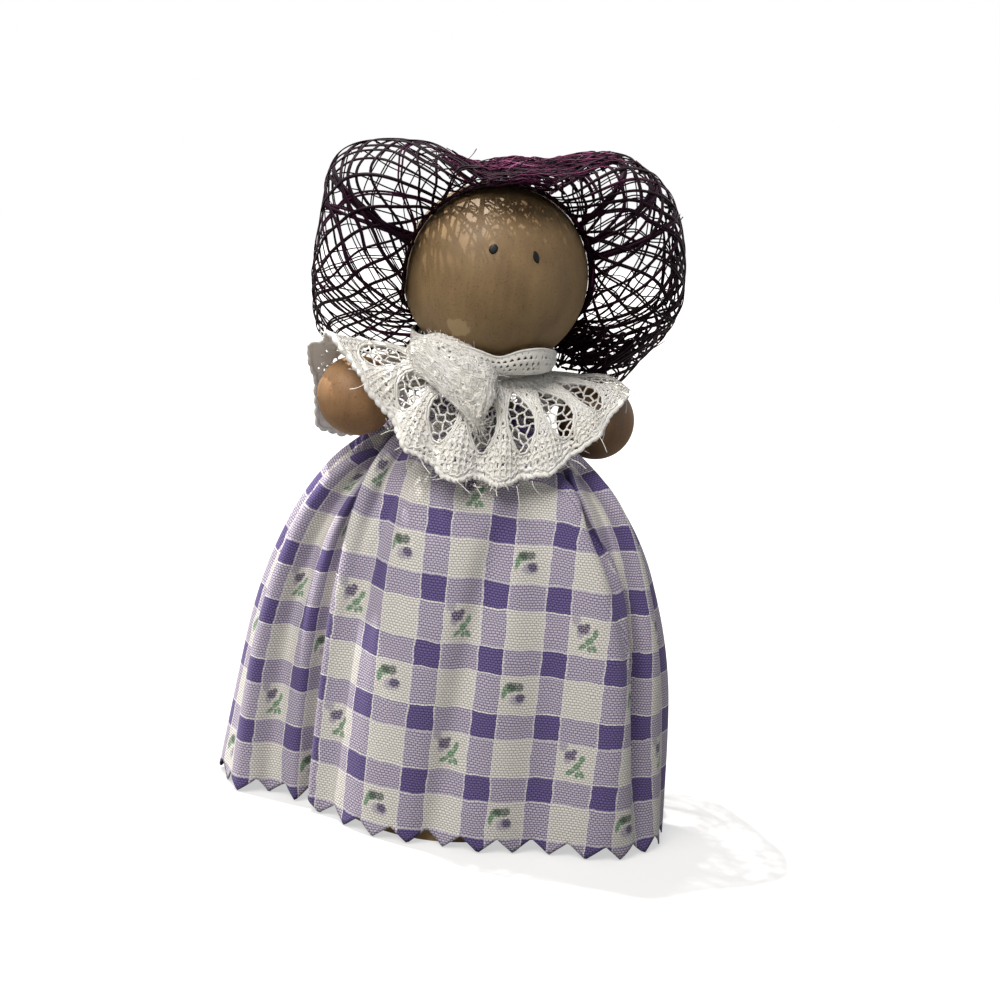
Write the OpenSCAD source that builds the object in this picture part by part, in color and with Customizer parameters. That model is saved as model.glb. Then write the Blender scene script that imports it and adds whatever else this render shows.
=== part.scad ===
// A peg doll: a round wooden peg with a ball head and bead hands on one arm wire,
// dressed in a gathered gingham skirt, a lace collar and a puffed open woven bonnet.
// It stands on the floor, faces -Y and has +Z up. Left and right are the doll's own,
// so its right hand is on the -X side. Lengths are millimetres, angles are degrees.

/* [Head] */
// Diameter of the ball head
head_d = 30; // [28:0.5:32]
// Height of the head's centre above the floor
head_z = 91; // [86:1:96]
// Diameter of the tenon and of the bore that holds it
tenon_d = 8; // [6:0.5:8]
// How far the tenon reaches into the head
tenon_len = 11; // [8:0.5:13]

/* [Eyes] */
// Width of a painted eye
eye_w = 1; // [0.7:0.1:1.4]
// Height of a painted eye
eye_h = 1.6; // [1.2:0.1:2.2]
// Thickness of the paint
paint_t = 0.12; // [0.08:0.02:0.2]
// How far each eye is turned from the middle of the face
eye_turn = 14.5; // [10:0.5:20]
// How far the eyes are raised above the head's middle
eye_rise = 21; // [10:1:25]

/* [Peg and stand] */
// Diameter of the peg's shaft
peg_d = 15; // [13:0.5:16]
// Diameter of the turned neck
neck_d = 9; // [8.5:0.25:10]
// Width of the slot between the prongs
slot_w = 3.5; // [2.5:0.5:4.5]
// Height of the slot's round end above the floor
slot_h = 48; // [40:1:54]
// Diameter of the stand ring
stand_d = 38; // [34:1:44]
// Thickness of the stand ring
stand_t = 5; // [4:0.5:7]

/* [Arms] */
// Diameter of the arm wire
wire_d = 1.5; // [1.2:0.1:1.6]
// Diameter of a bead hand
hand_d = 13; // [11:0.5:13.5]
// Distance of the right hand from the middle
right_hand_x = 20.6; // [20:0.1:23]
// How far the right hand hangs below the wire's hole
right_hand_drop = 4.0; // [3.8:0.1:6]
// Distance of the left hand from the middle
left_hand_x = 19.5; // [18.5:0.1:21]
// How far the left hand hangs below the wire's hole
left_hand_drop = 5.2; // [4.6:0.1:6]

/* [Skirt] */
// Widest diameter of the skirt's hem
hem_d = 76; // [70:1:82]
// Thickness of the gathered cloth
skirt_wall = 0.8; // [0.6:0.1:1]
// Number of teeth that pinking shears leave along the hem
tooth_count = 38; // [32:2:42]
// Depth of those teeth
tooth_h = 2.3; // [1.5:0.1:3]
// Depth of the gathers below the neck
gather_h = 1.3; // [0.8:0.1:1.6]

/* [Collar] */
// Widest reach of the lace frill from the middle
frill_r = 28; // [26:0.5:30]
// Greatest drop of the frill below its tie
frill_drop = 17; // [14:0.5:18]
// Height of the net heading above the tie
heading_h = 5; // [4:0.25:6]
// Thickness of the lace
lace_wall = 0.6; // [0.5:0.05:0.7]
// Depth of the frill's ruffles
ruffle_h = 0.7; // [0.4:0.1:0.9]

/* [Bonnet] */
// Widest reach of the bonnet's rim from the head's centre
rim_r = 32.5; // [30:0.5:35]
// How far the bonnet rolls forward of the head's centre
roll_front = 8.5; // [7:0.5:10]
// How much further the roll comes forward over the forehead
crown_front = 5.2; // [4:0.2:6]
// How far behind the head's centre the rim turns to the back
roll_back = 9; // [7:0.5:11]
// Radius of the gathered nape
nape_r = 3.5; // [3:0.25:4.5]
// Thickness of the woven straw
straw_wall = 0.6; // [0.5:0.05:0.7]

/* [Hidden] */

$fn = 64;
// One overrun serves every cut
overrun = 1;
// Free space between a soft piece and the hard piece that carries it
seat_gap = 0.1;
// Free space between the bonnet's inner edge and the head
edge_gap = 0.7;
// Radial clearance of the wire in the neck, and of each hand on the wire
turn_play = 0.05;
// Extra depth of the head's bore past the tenon
bore_rest = 0.5;
// Bevel round the tenon's end and the stand ring
bevel = 0.5;
// Height of the hem's lowest points above the floor
hem_lift = 0.3;

head_r = head_d / 2;
neck_r = neck_d / 2;
peg_r = peg_d / 2;
hand_r = hand_d / 2;
wire_r = wire_d / 2;

// Heights on the neck hang from the head, so they move with it
seat_z = head_z - sqrt(head_r * head_r - neck_r * neck_r);
collar_tie_drop = 0.8;
collar_tie_z = seat_z - collar_tie_drop;
arm_drop = 2.4;
arm_z = collar_tie_z - arm_drop;
skirt_tie_drop = 4;
skirt_tie_z = arm_z - skirt_tie_drop;

// Height of the shoulder where the shaft starts to narrow, and of the neck's foot
shoulder_drop = 10;
shoulder_z = skirt_tie_z - shoulder_drop;
neck_foot_drop = 1.5;
neck_foot_z = skirt_tie_z - neck_foot_drop;
// Height where the prongs start to spread, and how much the slot widens there
prong_flare_z = 16;
prong_flare = 1.5;

// The wire runs straight through the neck, then bends down to the hands. Pliers leave it
// a little thicker at the bend.
elbow_x = 6.5;
elbow_d = 1.9;
// A flattened end sits in the outer face of each hand and keeps it on the wire
wire_head_d = 2.4;
wire_head_t = 0.5;
wire_head_sink = 0.9;
wire_head_play = 0.1;

function unit(v) = v / norm(v);
function ease(x) = let(c = min(max(x, 0), 1)) c * c * (3 - 2 * c);
function around(a) = [sin(a), -cos(a), 0];
function curve(a, b, c, d, t) =
    (2 * b + (c - a) * t + (2 * a - 5 * b + 4 * c - d) * t * t
        + (3 * b - a - 3 * c + d) * t * t * t) / 2;
// Smooth value of a table that closes on itself, at an angle from the front towards +X
function ring_value(table, angle) =
    let(n = len(table), s = angle / 360 * n, w = s - floor(s / n) * n, i = floor(w))
    curve(table[(i + n - 1) % n], table[i % n], table[(i + 1) % n], table[(i + 2) % n], w - i);
// Smooth value of a table with two ends, at t from 0 to 1
function line_value(table, t) =
    let(n = len(table) - 1, s = min(max(t, 0), 1) * n, i = min(floor(s), n - 1))
    curve(table[max(i - 1, 0)], table[i], table[i + 1], table[min(i + 2, n)], s - i);

// A smooth swell that falls away on both sides
function swell(x, width) = exp(-(x / width) * (x / width));
// An angle brought between -180 and 180
function turned(a) = a - 360 * floor((a + 180) / 360);

// A cloth of some thickness from a grid of points across and down.
// Its front is seen with "across" to the right and "down" downwards.
// An open weave has an opening at the odd cells across of the rows listed in open_rows.
module cloth(front, back, across, down, closed, open_rows = []) {
    count = across * down;
    last = closed ? across - 1 : across - 2;
    function f(i, j) = j * across + i % across;
    function b(i, j) = count + f(i, j);
    function strip(a, b, c, d) = [[a, b, c], [a, c, d]];
    function is_open(i, j) = i % 2 == 1 && len([for (row = open_rows) if (row == j) row]) > 0;
    faces = [
        for (i = [0:last], j = [0:down - 2])
            if (!is_open(i, j))
                each strip(f(i, j), f(i + 1, j), f(i + 1, j + 1), f(i, j + 1)),
        for (i = [0:last], j = [0:down - 2])
            if (!is_open(i, j))
                each strip(b(i + 1, j), b(i, j), b(i, j + 1), b(i + 1, j + 1)),
        for (i = [0:last], j = [0:down - 2])
            if (is_open(i, j))
                each concat(
                    strip(f(i, j), f(i + 1, j), b(i + 1, j), b(i, j)),
                    strip(f(i + 1, j), f(i + 1, j + 1), b(i + 1, j + 1), b(i + 1, j)),
                    strip(f(i + 1, j + 1), f(i, j + 1), b(i, j + 1), b(i + 1, j + 1)),
                    strip(f(i, j + 1), f(i, j), b(i, j), b(i, j + 1))
                ),
        for (i = [0:last])
            each strip(b(i, 0), b(i + 1, 0), f(i + 1, 0), f(i, 0)),
        for (i = [0:last])
            each strip(f(i, down - 1), f(i + 1, down - 1), b(i + 1, down - 1), b(i, down - 1)),
        if (!closed)
            for (j = [0:down - 2])
                each strip(b(0, j), f(0, j), f(0, j + 1), b(0, j + 1)),
        if (!closed)
            for (j = [0:down - 2])
                each strip(f(across - 1, j), b(across - 1, j), b(across - 1, j + 1), f(across - 1, j + 1))
    ];
    polyhedron(concat(front, back), faces, convexity = 10);
}

// Outward direction of a cloth from its neighbours across and down
function outward(left, right, above, below) = unit(cross(below - above, right - left));

// Stand ring

module stand_ring() {
    color("burlywood")
    difference() {
        rotate_extrude()
        polygon([
            [0, 0],
            [stand_d / 2, 0],
            [stand_d / 2, stand_t - bevel],
            [stand_d / 2 - bevel, stand_t],
            [0, stand_t]
        ]);
        translate([0, 0, -overrun])
        cylinder(d = peg_d, h = stand_t + 2 * overrun);
    }
}

// Peg

module peg_outline() {
    polygon([
        [0, 0],
        [peg_r, 0],
        [peg_r, shoulder_z],
        [peg_r - (peg_r - neck_r) / 3, (2 * shoulder_z + neck_foot_z) / 3],
        [neck_r, neck_foot_z],
        [neck_r, seat_z],
        [tenon_d / 2, seat_z],
        [tenon_d / 2, seat_z + tenon_len - bevel],
        [tenon_d / 2 - bevel, seat_z + tenon_len],
        [0, seat_z + tenon_len]
    ]);
}

module slot_outline() {
    polygon([
        [-slot_w / 2 - prong_flare / 2, -overrun],
        [slot_w / 2 + prong_flare / 2, -overrun],
        [slot_w / 2 + prong_flare / 2, 0],
        [slot_w / 2, prong_flare_z],
        [slot_w / 2, slot_h],
        [-slot_w / 2, slot_h],
        [-slot_w / 2, prong_flare_z],
        [-slot_w / 2 - prong_flare / 2, 0]
    ]);
}

module peg() {
    color("burlywood")
    difference() {
        rotate_extrude()
        peg_outline();
        rotate([90, 0, 0])
        translate([0, 0, -peg_d])
        linear_extrude(2 * peg_d)
        slot_outline();
        translate([0, peg_d, slot_h])
        rotate([90, 0, 0])
        cylinder(d = slot_w, h = 2 * peg_d);
        translate([-neck_d, 0, arm_z])
        rotate([0, 90, 0])
        cylinder(r = wire_r + turn_play, h = 2 * neck_d);
    }
}

// Head and eyes

module head() {
    color("tan")
    difference() {
        translate([0, 0, head_z])
        sphere(d = head_d);
        translate([0, 0, seat_z - head_r])
        cylinder(r = neck_r, h = head_r);
        translate([0, 0, seat_z - overrun])
        cylinder(d = tenon_d, h = overrun + tenon_len + bore_rest);
    }
}

// Corners of a brushed dot, as shares of half its width and half its height
dot_shares = [[-0.5, -1], [0.4, -0.9], [1, -0.3], [0.8, 0.7], [0.1, 1], [-0.8, 0.8], [-1, 0]];

module eye(turn, lean) {
    color("black")
    intersection() {
        translate([0, 0, head_z])
        difference() {
            sphere(r = head_r + paint_t);
            sphere(r = head_r);
        }
        translate([0, 0, head_z])
        rotate([90 - eye_rise, 0, turn])
        rotate([0, 0, lean])
        linear_extrude(head_d)
        polygon([for (s = dot_shares) [s[0] * eye_w / 2, s[1] * eye_h / 2]]);
    }
}

module right_eye() {
    eye(-eye_turn, 0);
}

eye_lean = 20;

module left_eye() {
    eye(eye_turn, eye_lean);
}

// Arms

right_hand_at = [-right_hand_x, 0, arm_z - right_hand_drop];
left_hand_at = [left_hand_x, 0, arm_z - left_hand_drop];

// Turns +Z towards the hand at the end of one forearm
module along_arm(hand_at) {
    side = sign(hand_at[0]);
    run = hand_at - [side * elbow_x, 0, arm_z];
    translate([side * elbow_x, 0, arm_z])
    rotate([0, side * acos(run[2] / norm(run)), 0])
    children();
}

function arm_run(hand_at) = norm(hand_at - [sign(hand_at[0]) * elbow_x, 0, arm_z]);
// Where the flattened end lies along the forearm
function wire_end(hand_at) = arm_run(hand_at) + hand_r - wire_head_sink;

module forearm(hand_at) {
    along_arm(hand_at) {
        sphere(d = elbow_d);
        cylinder(d = wire_d, h = wire_end(hand_at));
        translate([0, 0, wire_end(hand_at)])
        cylinder(d = wire_head_d, h = wire_head_t);
    }
}

module arm_wire() {
    color("silver")
    union() {
        translate([-elbow_x, 0, arm_z])
        rotate([0, 90, 0])
        cylinder(d = wire_d, h = 2 * elbow_x);
        forearm(right_hand_at);
        forearm(left_hand_at);
    }
}

module hand(hand_at) {
    color("peru")
    along_arm(hand_at)
    difference() {
        translate([0, 0, arm_run(hand_at)])
        sphere(d = hand_d);
        translate([0, 0, arm_run(hand_at) - hand_d])
        cylinder(r = wire_r + turn_play, h = 2 * hand_d);
        translate([0, 0, wire_end(hand_at) - wire_head_play])
        cylinder(d = wire_head_d + 2 * wire_head_play, h = hand_d);
    }
}

module right_hand() {
    hand(right_hand_at);
}

module left_hand() {
    hand(left_hand_at);
}

// Skirt

// Reach of the hem every 15 degrees from the front towards +X, as shares of its half width
hem_shares = [
    0.600, 0.640, 0.690, 0.890, 1.050, 0.950, 0.870, 0.865, 0.830, 0.780, 0.750, 0.740,
    0.735, 0.745, 0.770, 0.820, 0.900, 0.975, 0.960, 0.660, 0.600, 0.600, 0.590, 0.590
];
// Rows of the skirt down from its tie: share of the way out to the hem, share of the
// tie's height, share of the gathers' depth
skirt_row_shares = [
    [0.00, 1.000, 0.0], [0.21, 0.950, 0.6], [0.40, 0.876, 0.9], [0.588, 0.785, 1.0],
    [0.756, 0.640, 0.8], [0.902, 0.405, 0.6], [1.00, 0.000, 0.4]
];
// Folds that hang from the neck: their angle at the tie and at the hem, how far they stand
// out, their width in degrees, and the shares of the way down where they start and end
skirt_folds = [
    [-92, -79, -3.6, 6, 0.15, 1.6], [-75, -84, -1.6, 5, 0.15, 0.75], [-68, -71, 0.9, 6, 0.1, 1.6],
    [-50, -46, 0.6, 4, 0.2, 0.95], [-60, -58, -0.5, 5, 0.1, 0.8], [34, -12, -0.9, 10, 0.45, 1.5],
    [41, 50, 1.5, 6, 0.15, 1], [49, 63, -2, 5, 0.15, 0.95], [59, 70, 1.2, 6, 0.15, 1.2],
    [75, 88, -2.2, 7, 0.15, 1.4], [120, 124, -1.8, 8, 0.15, 1.6], [165, 168, 1.2, 9, 0.15, 1.6],
    [205, 200, -1.8, 8, 0.15, 1.6], [240, 238, 1.2, 8, 0.15, 1.6]
];
fold_start_over = 0.3;
fold_end_over = 0.25;
// The front hangs flat between two angles, given at the tie and at the hem
panel_left = [-69, -76];
panel_right = [40, 60];
panel_edge = 9;
panel_from = 0.1;
panel_over = 0.22;
// The cloth above the tie: how far it flares out and how high it stands
ruff_flare = 1.6;
ruff_h = 2.3;

skirt_across = 2 * tooth_count;
skirt_down = len(skirt_row_shares) + 1;
skirt_waist_r = neck_r + seat_gap + skirt_wall;
gather_count = tooth_count / 2;

function hem_reach(angle) = hem_d / 2 * ring_value(hem_shares, angle);
function between(pair, t) = pair[0] + (pair[1] - pair[0]) * t;
function sum_of(list) = list * [for (v = list) 1];
function fold_reach(angle, down) =
    sum_of([
        for (f = skirt_folds)
            f[2] * swell(turned(angle - between(f, down)), f[3])
                * ease((down - f[4]) / fold_start_over) * ease((f[5] - down) / fold_end_over)
    ]);
function panel_at(angle, down) =
    ease((turned(angle) - between(panel_left, down)) / panel_edge)
        * ease((between(panel_right, down) - turned(angle)) / panel_edge)
        * ease((down - panel_from) / panel_over);
// Row 0 is the cloth's upper edge, row 1 the tie, and the last row the hem
function skirt_at(i, row) =
    let(
        angle = 360 * i / skirt_across,
        share = skirt_row_shares[max(row - 1, 0)],
        down = max(row - 1, 0) / (len(skirt_row_shares) - 1),
        gather = gather_h * share[2] * cos(gather_count * angle) * (1 - panel_at(angle, down)),
        bell = skirt_waist_r + (hem_reach(angle) - skirt_waist_r) * share[0],
        reach = bell + fold_reach(angle, down) + gather,
        z = hem_lift + (skirt_tie_z - hem_lift) * share[1]
    )
    row == 0
        ? around(angle) * (skirt_waist_r + ruff_flare) + [0, 0, skirt_tie_z + ruff_h]
        : around(angle) * reach + [0, 0, z];
function skirt_out(i, row) =
    outward(
        skirt_at(i - 1, row), skirt_at(i + 1, row),
        skirt_at(i, max(row - 1, 0)), skirt_at(i, min(row + 1, skirt_down - 1))
    );
function notch(i, row) = row == skirt_down - 1 && i % 2 == 1 ? [0, 0, tooth_h] : [0, 0, 0];
// At the hem and the tie the cloth's thickness lies level
function level(v) = unit([v[0], v[1], 0]);
function skirt_in(i, row) =
    row == skirt_down - 1 || row == 1
        ? skirt_at(i, row) - skirt_wall * level(skirt_out(i, row))
        : skirt_at(i, row) - skirt_wall * skirt_out(i, row);

module skirt() {
    color("mediumpurple")
    cloth(
        [for (j = [0:skirt_down - 1], i = [0:skirt_across - 1]) skirt_at(i, j) + notch(i, j)],
        [for (j = [0:skirt_down - 1], i = [0:skirt_across - 1]) skirt_in(i, j) + notch(i, j)],
        skirt_across, skirt_down, true
    );
}

// Thread that gathers the cloth, a little out and up from the waist
thread_r = 0.35;
skirt_thread_out = 0.75;
skirt_thread_up = 0.3;

module skirt_tie() {
    color("mediumpurple")
    translate([0, 0, skirt_tie_z + skirt_thread_up])
    rotate_extrude()
    translate([skirt_waist_r + skirt_thread_out, 0])
    circle(r = thread_r);
}

// Lace collar

// Reach and drop of the frill's edge every 15 degrees from the front towards +X,
// as shares of its widest reach and of its greatest drop
frill_reach_shares = [
    0.575, 0.61, 0.66, 0.73, 0.785, 0.835, 0.83, 0.76, 0.74, 0.73, 0.72, 0.71,
    0.70, 0.71, 0.74, 0.80, 0.90, 0.99, 1.00, 0.93, 0.76, 0.695, 0.64, 0.59
];
frill_drop_shares = [
    0.93, 0.90, 0.78, 0.58, 0.30, 0.03, -0.03, 0.01, 0.24, 0.52, 0.79, 0.94,
    0.97, 0.97, 0.95, 0.93, 0.80, 0.12, -0.04, -0.04, 0.40, 0.67, 0.86, 0.92
];
// Where the frill is lifted to lie over the hands, as shares of its greatest lift
frill_lift_shares = [
    0, 0, 0, 0.1, 0.4, 0.65, 0.65, 0.45, 0.15, 0, 0, 0,
    0, 0, 0, 0.1, 0.6, 1, 1, 0.9, 0.5, 0.15, 0, 0
];
// Rows of the frill out from its tie: share of the way out, of the drop, of the ruffle
// and of the lift
frill_row_shares = [
    [0.25, 0.00, 0.1, 0.0], [0.50, 0.14, 0.4, 0.9], [0.73, 0.40, 0.7, 1.0],
    [0.90, 0.71, 0.9, 1.0], [1.00, 1.00, 1.0, 1.0]
];
// How far the frill is lifted over the hands
frill_lift = 2.4;
// Rows of the net heading down to its tie: share of its reach, share of its height
heading_row_shares = [[1.00, 1.00], [0.99, 0.50], [0.80, 0.14]];
// The heading's height round the neck, with a dip at the front where the ends cross
heading_dip_shares = [
    0.75, 1.00, 1.08, 1.00, 1, 1, 1, 1, 1, 1, 1, 1, 1, 1, 1, 1, 1, 1, 1, 1, 1.05, 1.10, 1.05, 0.90
];
// Free space between the heading and the head
heading_gap = 0.6;

lace_across = 64;
ruffle_count = lace_across / 4;
collar_waist_r = neck_r + seat_gap + lace_wall;
heading_rows = len(heading_row_shares);
collar_down = heading_rows + 1 + len(frill_row_shares);

// The heading stands just clear of the ball at its own height
function heading_top(angle) = collar_tie_z + heading_h * ring_value(heading_dip_shares, angle);
function heading_reach(angle) =
    let(below = head_z - heading_top(angle), r = head_r + heading_gap + lace_wall)
    sqrt(max(r * r - below * below, collar_waist_r * collar_waist_r));
function heading_at(angle, share) =
    around(angle) * heading_reach(angle) * share[0]
        + [0, 0, collar_tie_z + (heading_top(angle) - collar_tie_z) * share[1]];
function frill_at(angle, share) =
    let(
        out = frill_r * ring_value(frill_reach_shares, angle) - collar_waist_r,
        drop = frill_drop * ring_value(frill_drop_shares, angle),
        wave = ruffle_h * share[2] * cos(ruffle_count * angle)
    )
    around(angle) * (collar_waist_r + out * share[0])
        + [0, 0, collar_tie_z - frill_sag - drop * share[1]]
        + [0, 0, frill_lift * ring_value(frill_lift_shares, angle) * share[3]]
        + wave * unit([0, 0, out] + around(angle) * max(drop, 0));
// The frill leaves the tie a little lower than the heading does
frill_sag = 0.9;
function collar_at(i, row) =
    let(angle = 360 * i / lace_across)
    row < heading_rows
        ? heading_at(angle, heading_row_shares[row])
        : row == heading_rows
            ? around(angle) * collar_waist_r + [0, 0, collar_tie_z]
            : frill_at(angle, frill_row_shares[row - heading_rows - 1]);
function collar_out(i, row) =
    outward(
        collar_at(i - 1, row), collar_at(i + 1, row),
        collar_at(i, max(row - 1, 0)), collar_at(i, min(row + 1, collar_down - 1))
    );

module lace_collar() {
    color("ivory")
    cloth(
        [for (j = [0:collar_down - 1], i = [0:lace_across - 1]) collar_at(i, j)],
        [for (j = [0:collar_down - 1], i = [0:lace_across - 1])
            collar_at(i, j) - lace_wall * collar_out(i, j)],
        lace_across, collar_down, true
    );
}

// Thread that gathers the lace, between the heading and the frill
collar_thread_out = 2.4;
collar_thread_down = 0.05;

module collar_tie() {
    color("ivory")
    translate([0, 0, collar_tie_z - collar_thread_down])
    rotate_extrude()
    translate([collar_waist_r + collar_thread_out, 0])
    circle(r = thread_r - seat_gap);
}

// Bonnet

// The bonnet goes round the face from its left end to its right end, as angles from up
bonnet_left_end = 125;
bonnet_right_end = 118;
// Reach of the rim from the left end to the right end, as shares of its widest reach
rim_shares = [
    0.965, 1.00, 0.965, 0.965, 0.875, 0.630, 0.565, 0.550, 0.700, 0.930, 0.900, 0.890, 0.905
];
// Rows from the edge at the head out to the rim: share of the way out, share of the
// roll's depth in front (negative) or behind (positive), share of the edge's dip
bonnet_row_shares = [
    [0.00, -0.35, 0.0], [0.16, -0.75, 0.9], [0.40, -1.00, 0.6], [0.66, -0.95, 0.2],
    [0.88, -0.65, 0.0], [1.00, -0.12, 0.0], [1.01, 0.45, 0.0], [0.94, 1.00, 0.0]
];
// How far the roll dips over the forehead
roll_dip_depth = 1.2;
// The lower ends are swept back behind the collar
sweep_depth = 12;
sweep_from = 85;
sweep_over = 32;
// Place of the gathered nape from the head's centre
nape_x = 6;
nape_y = 17;
nape_drop = 12;

// Angle from up over which the roll comes forward over the forehead
crown_width = 34;

// The open weave stands for a plain grid of bars and openings.
// Rows of bars' edges in front, as shares of the way from the head to where the back starts
bonnet_front_shares = [0, 0.07, 0.23, 0.31, 0.47, 0.53, 0.67, 0.76, 0.95];
// And behind, as shares of the way from there to the nape
bonnet_back_shares = [0.08, 0.34, 0.42, 0.68, 0.78, 1];
bonnet_open_rows = [1, 3, 5, 7, 9, 11];
openings_across = 12;
// Share of a bar and the opening beside it that the bar takes
bar_share = 0.3;
bonnet_across = 2 * openings_across + 2;
bonnet_front_rows = len(bonnet_front_shares);
bonnet_back_rows = len(bonnet_back_shares);
// Rows of the tail past the nape: share of the nape's radius, share of the tail's length
bonnet_tail_shares = [[0.8, 0.3], [0.75, 0.6], [1.2, 1]];
nape_tail = 5;
bonnet_nape_row = bonnet_front_rows + bonnet_back_rows - 1;
bonnet_down = bonnet_nape_row + 1 + len(bonnet_tail_shares);

head_at = [0, 0, head_z];
nape_at = [nape_x, nape_y, -nape_drop];

function bonnet_share(i) = (floor(i / 2) + (i % 2) * bar_share) / (openings_across + bar_share);
function bonnet_angle(i) = bonnet_left_end - (bonnet_left_end + bonnet_right_end) * bonnet_share(i);
function rim_reach(i) = rim_r * line_value(rim_shares, bonnet_share(i));
function swept(angle) = sweep_depth * ease((abs(angle) - sweep_from) / sweep_over);
function bonnet_roll_at(i, row) =
    let(
        angle = bonnet_angle(i),
        share = line_value(bonnet_row_shares, bonnet_front_shares[row]),
        crown = swell(angle, crown_width),
        front = roll_front + crown_front * crown,
        depth = share[1] < 0 ? front * share[1] : roll_back * share[1],
        edge_y = swept(angle) - roll_front * -bonnet_row_shares[0][1],
        edge_r = head_r + edge_gap,
        inner = sqrt(edge_r * edge_r - edge_y * edge_y),
        dip = roll_dip_depth * share[2] * (1 - crown),
        reach = inner + (rim_reach(i) - inner) * share[0] - dip
    )
    [sin(angle) * reach, row == 0 ? edge_y : depth + swept(angle), cos(angle) * reach];
// Each thread of the back runs from the rim round the head to the ring at the nape,
// and stands out in a short tail there
function nape_out(rim) =
    let(n = unit(nape_at), d = rim - nape_at)
    unit(d - n * (d * n));
function sweep_between(a, b, t) =
    let(w = acos(unit(a) * unit(b)))
    (unit(a) * sin((1 - t) * w) + unit(b) * sin(t * w)) / sin(w)
        * (norm(a) * (1 - t) + norm(b) * t);
function bonnet_back_at(rim, row) =
    sweep_between(
        rim, nape_at + nape_r * nape_out(rim), bonnet_back_shares[row - bonnet_front_rows]
    );
function bonnet_tail_at(rim, share) =
    nape_at + unit(nape_at) * nape_tail * share[1] + nape_out(rim) * nape_r * share[0];
function bonnet_at(i, row) =
    let(rim = bonnet_roll_at(i, bonnet_front_rows - 1))
    row < bonnet_front_rows
        ? bonnet_roll_at(i, row)
        : row <= bonnet_nape_row
            ? bonnet_back_at(rim, row)
            : bonnet_tail_at(rim, bonnet_tail_shares[row - bonnet_nape_row - 1]);
function bonnet_out(i, row) =
    outward(
        bonnet_at(max(i - 1, 0), row), bonnet_at(min(i + 1, bonnet_across - 1), row),
        bonnet_at(i, max(row - 1, 0)), bonnet_at(i, min(row + 1, bonnet_down - 1))
    );

module bonnet() {
    color("indigo")
    translate(head_at)
    cloth(
        [for (j = [0:bonnet_down - 1], i = [0:bonnet_across - 1]) bonnet_at(i, j)],
        [for (j = [0:bonnet_down - 1], i = [0:bonnet_across - 1])
            bonnet_at(i, j) - straw_wall * bonnet_out(i, j)],
        bonnet_across, bonnet_down, false, bonnet_open_rows
    );
}

// Thread round the waist of the tail
bonnet_thread_gap = 0.15;
bonnet_waist_r = nape_r * bonnet_tail_shares[0][0];

module bonnet_tie() {
    color("indigo")
    translate(head_at + nape_at)
    rotate([0, acos(unit(nape_at)[2]), atan2(nape_y, nape_x)])
    translate([0, 0, nape_tail * (bonnet_tail_shares[0][1] + bonnet_tail_shares[1][1]) / 2])
    rotate_extrude()
    translate([bonnet_waist_r + thread_r + bonnet_thread_gap, 0])
    circle(r = thread_r);
}

stand_ring();
peg();
head();
right_eye();
left_eye();
arm_wire();
right_hand();
left_hand();
skirt();
skirt_tie();
lace_collar();
collar_tie();
bonnet();
bonnet_tie();
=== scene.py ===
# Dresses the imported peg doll: waxed beech, printed gingham, cotton lace and an open straw bonnet.
import bpy
import math
import numpy as np
from mathutils import Matrix, Vector


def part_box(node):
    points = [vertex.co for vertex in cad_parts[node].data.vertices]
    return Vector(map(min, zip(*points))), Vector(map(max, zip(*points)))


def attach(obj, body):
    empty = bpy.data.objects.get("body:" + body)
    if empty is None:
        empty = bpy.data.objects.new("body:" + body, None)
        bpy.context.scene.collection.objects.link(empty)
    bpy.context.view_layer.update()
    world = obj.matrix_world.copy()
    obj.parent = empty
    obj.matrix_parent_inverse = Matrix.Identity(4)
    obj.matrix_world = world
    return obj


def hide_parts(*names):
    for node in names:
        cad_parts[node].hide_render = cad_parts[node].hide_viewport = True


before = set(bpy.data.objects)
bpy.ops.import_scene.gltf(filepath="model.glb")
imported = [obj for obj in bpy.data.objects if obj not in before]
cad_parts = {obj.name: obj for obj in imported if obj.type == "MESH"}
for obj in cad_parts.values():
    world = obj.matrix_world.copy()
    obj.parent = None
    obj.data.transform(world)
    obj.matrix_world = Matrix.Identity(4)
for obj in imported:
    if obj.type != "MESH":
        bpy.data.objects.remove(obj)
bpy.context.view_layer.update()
mm = 0.001
scene = bpy.context.scene
scene.view_settings.view_transform = "Standard"
print("frame loaded:", len(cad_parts), "nodes")


# small tools: colour, nodes, tables, meshes

def hexToLinear(code):
    parts = [int(code[i:i + 2], 16) / 255 for i in (1, 3, 5)]
    return [p / 12.92 if p <= 0.04045 else ((p + 0.055) / 1.055) ** 2.4 for p in parts] + [1.0]


def feed(tree, node, inputs):
    # an input takes a plain value, a socket, or a node, which stands for its first output in use
    for key, value in inputs.items():
        if isinstance(value, bpy.types.Node):
            value = next(socket for socket in value.outputs if socket.enabled)
        if isinstance(value, bpy.types.NodeSocket):
            tree.links.new(value, node.inputs[key])
        else:
            node.inputs[key].default_value = value


def addNode(tree, kind, inputs=None, **settings):
    node = tree.nodes.new("ShaderNode" + kind)
    for key, value in settings.items():
        setattr(node, key, value)
    feed(tree, node, inputs or {})
    return node


def newMaterial(name):
    material = bpy.data.materials.new(name)
    material.use_nodes = True
    tree = material.node_tree
    return material, tree, tree.nodes["Principled BSDF"]


def setStops(ramp, stops):
    band = ramp.color_ramp
    while len(band.elements) > 1:
        band.elements.remove(band.elements[-1])
    band.elements[0].position = stops[0][0]
    band.elements[0].color = hexToLinear(stops[0][1])
    for place, code in stops[1:]:
        band.elements.new(place).color = hexToLinear(code)


def spline(before, a, b, after, t):
    return (2 * a + (b - before) * t + (2 * before - 5 * a + 4 * b - after) * t * t
            + (3 * a - before - 3 * b + after) * t ** 3) / 2


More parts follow.
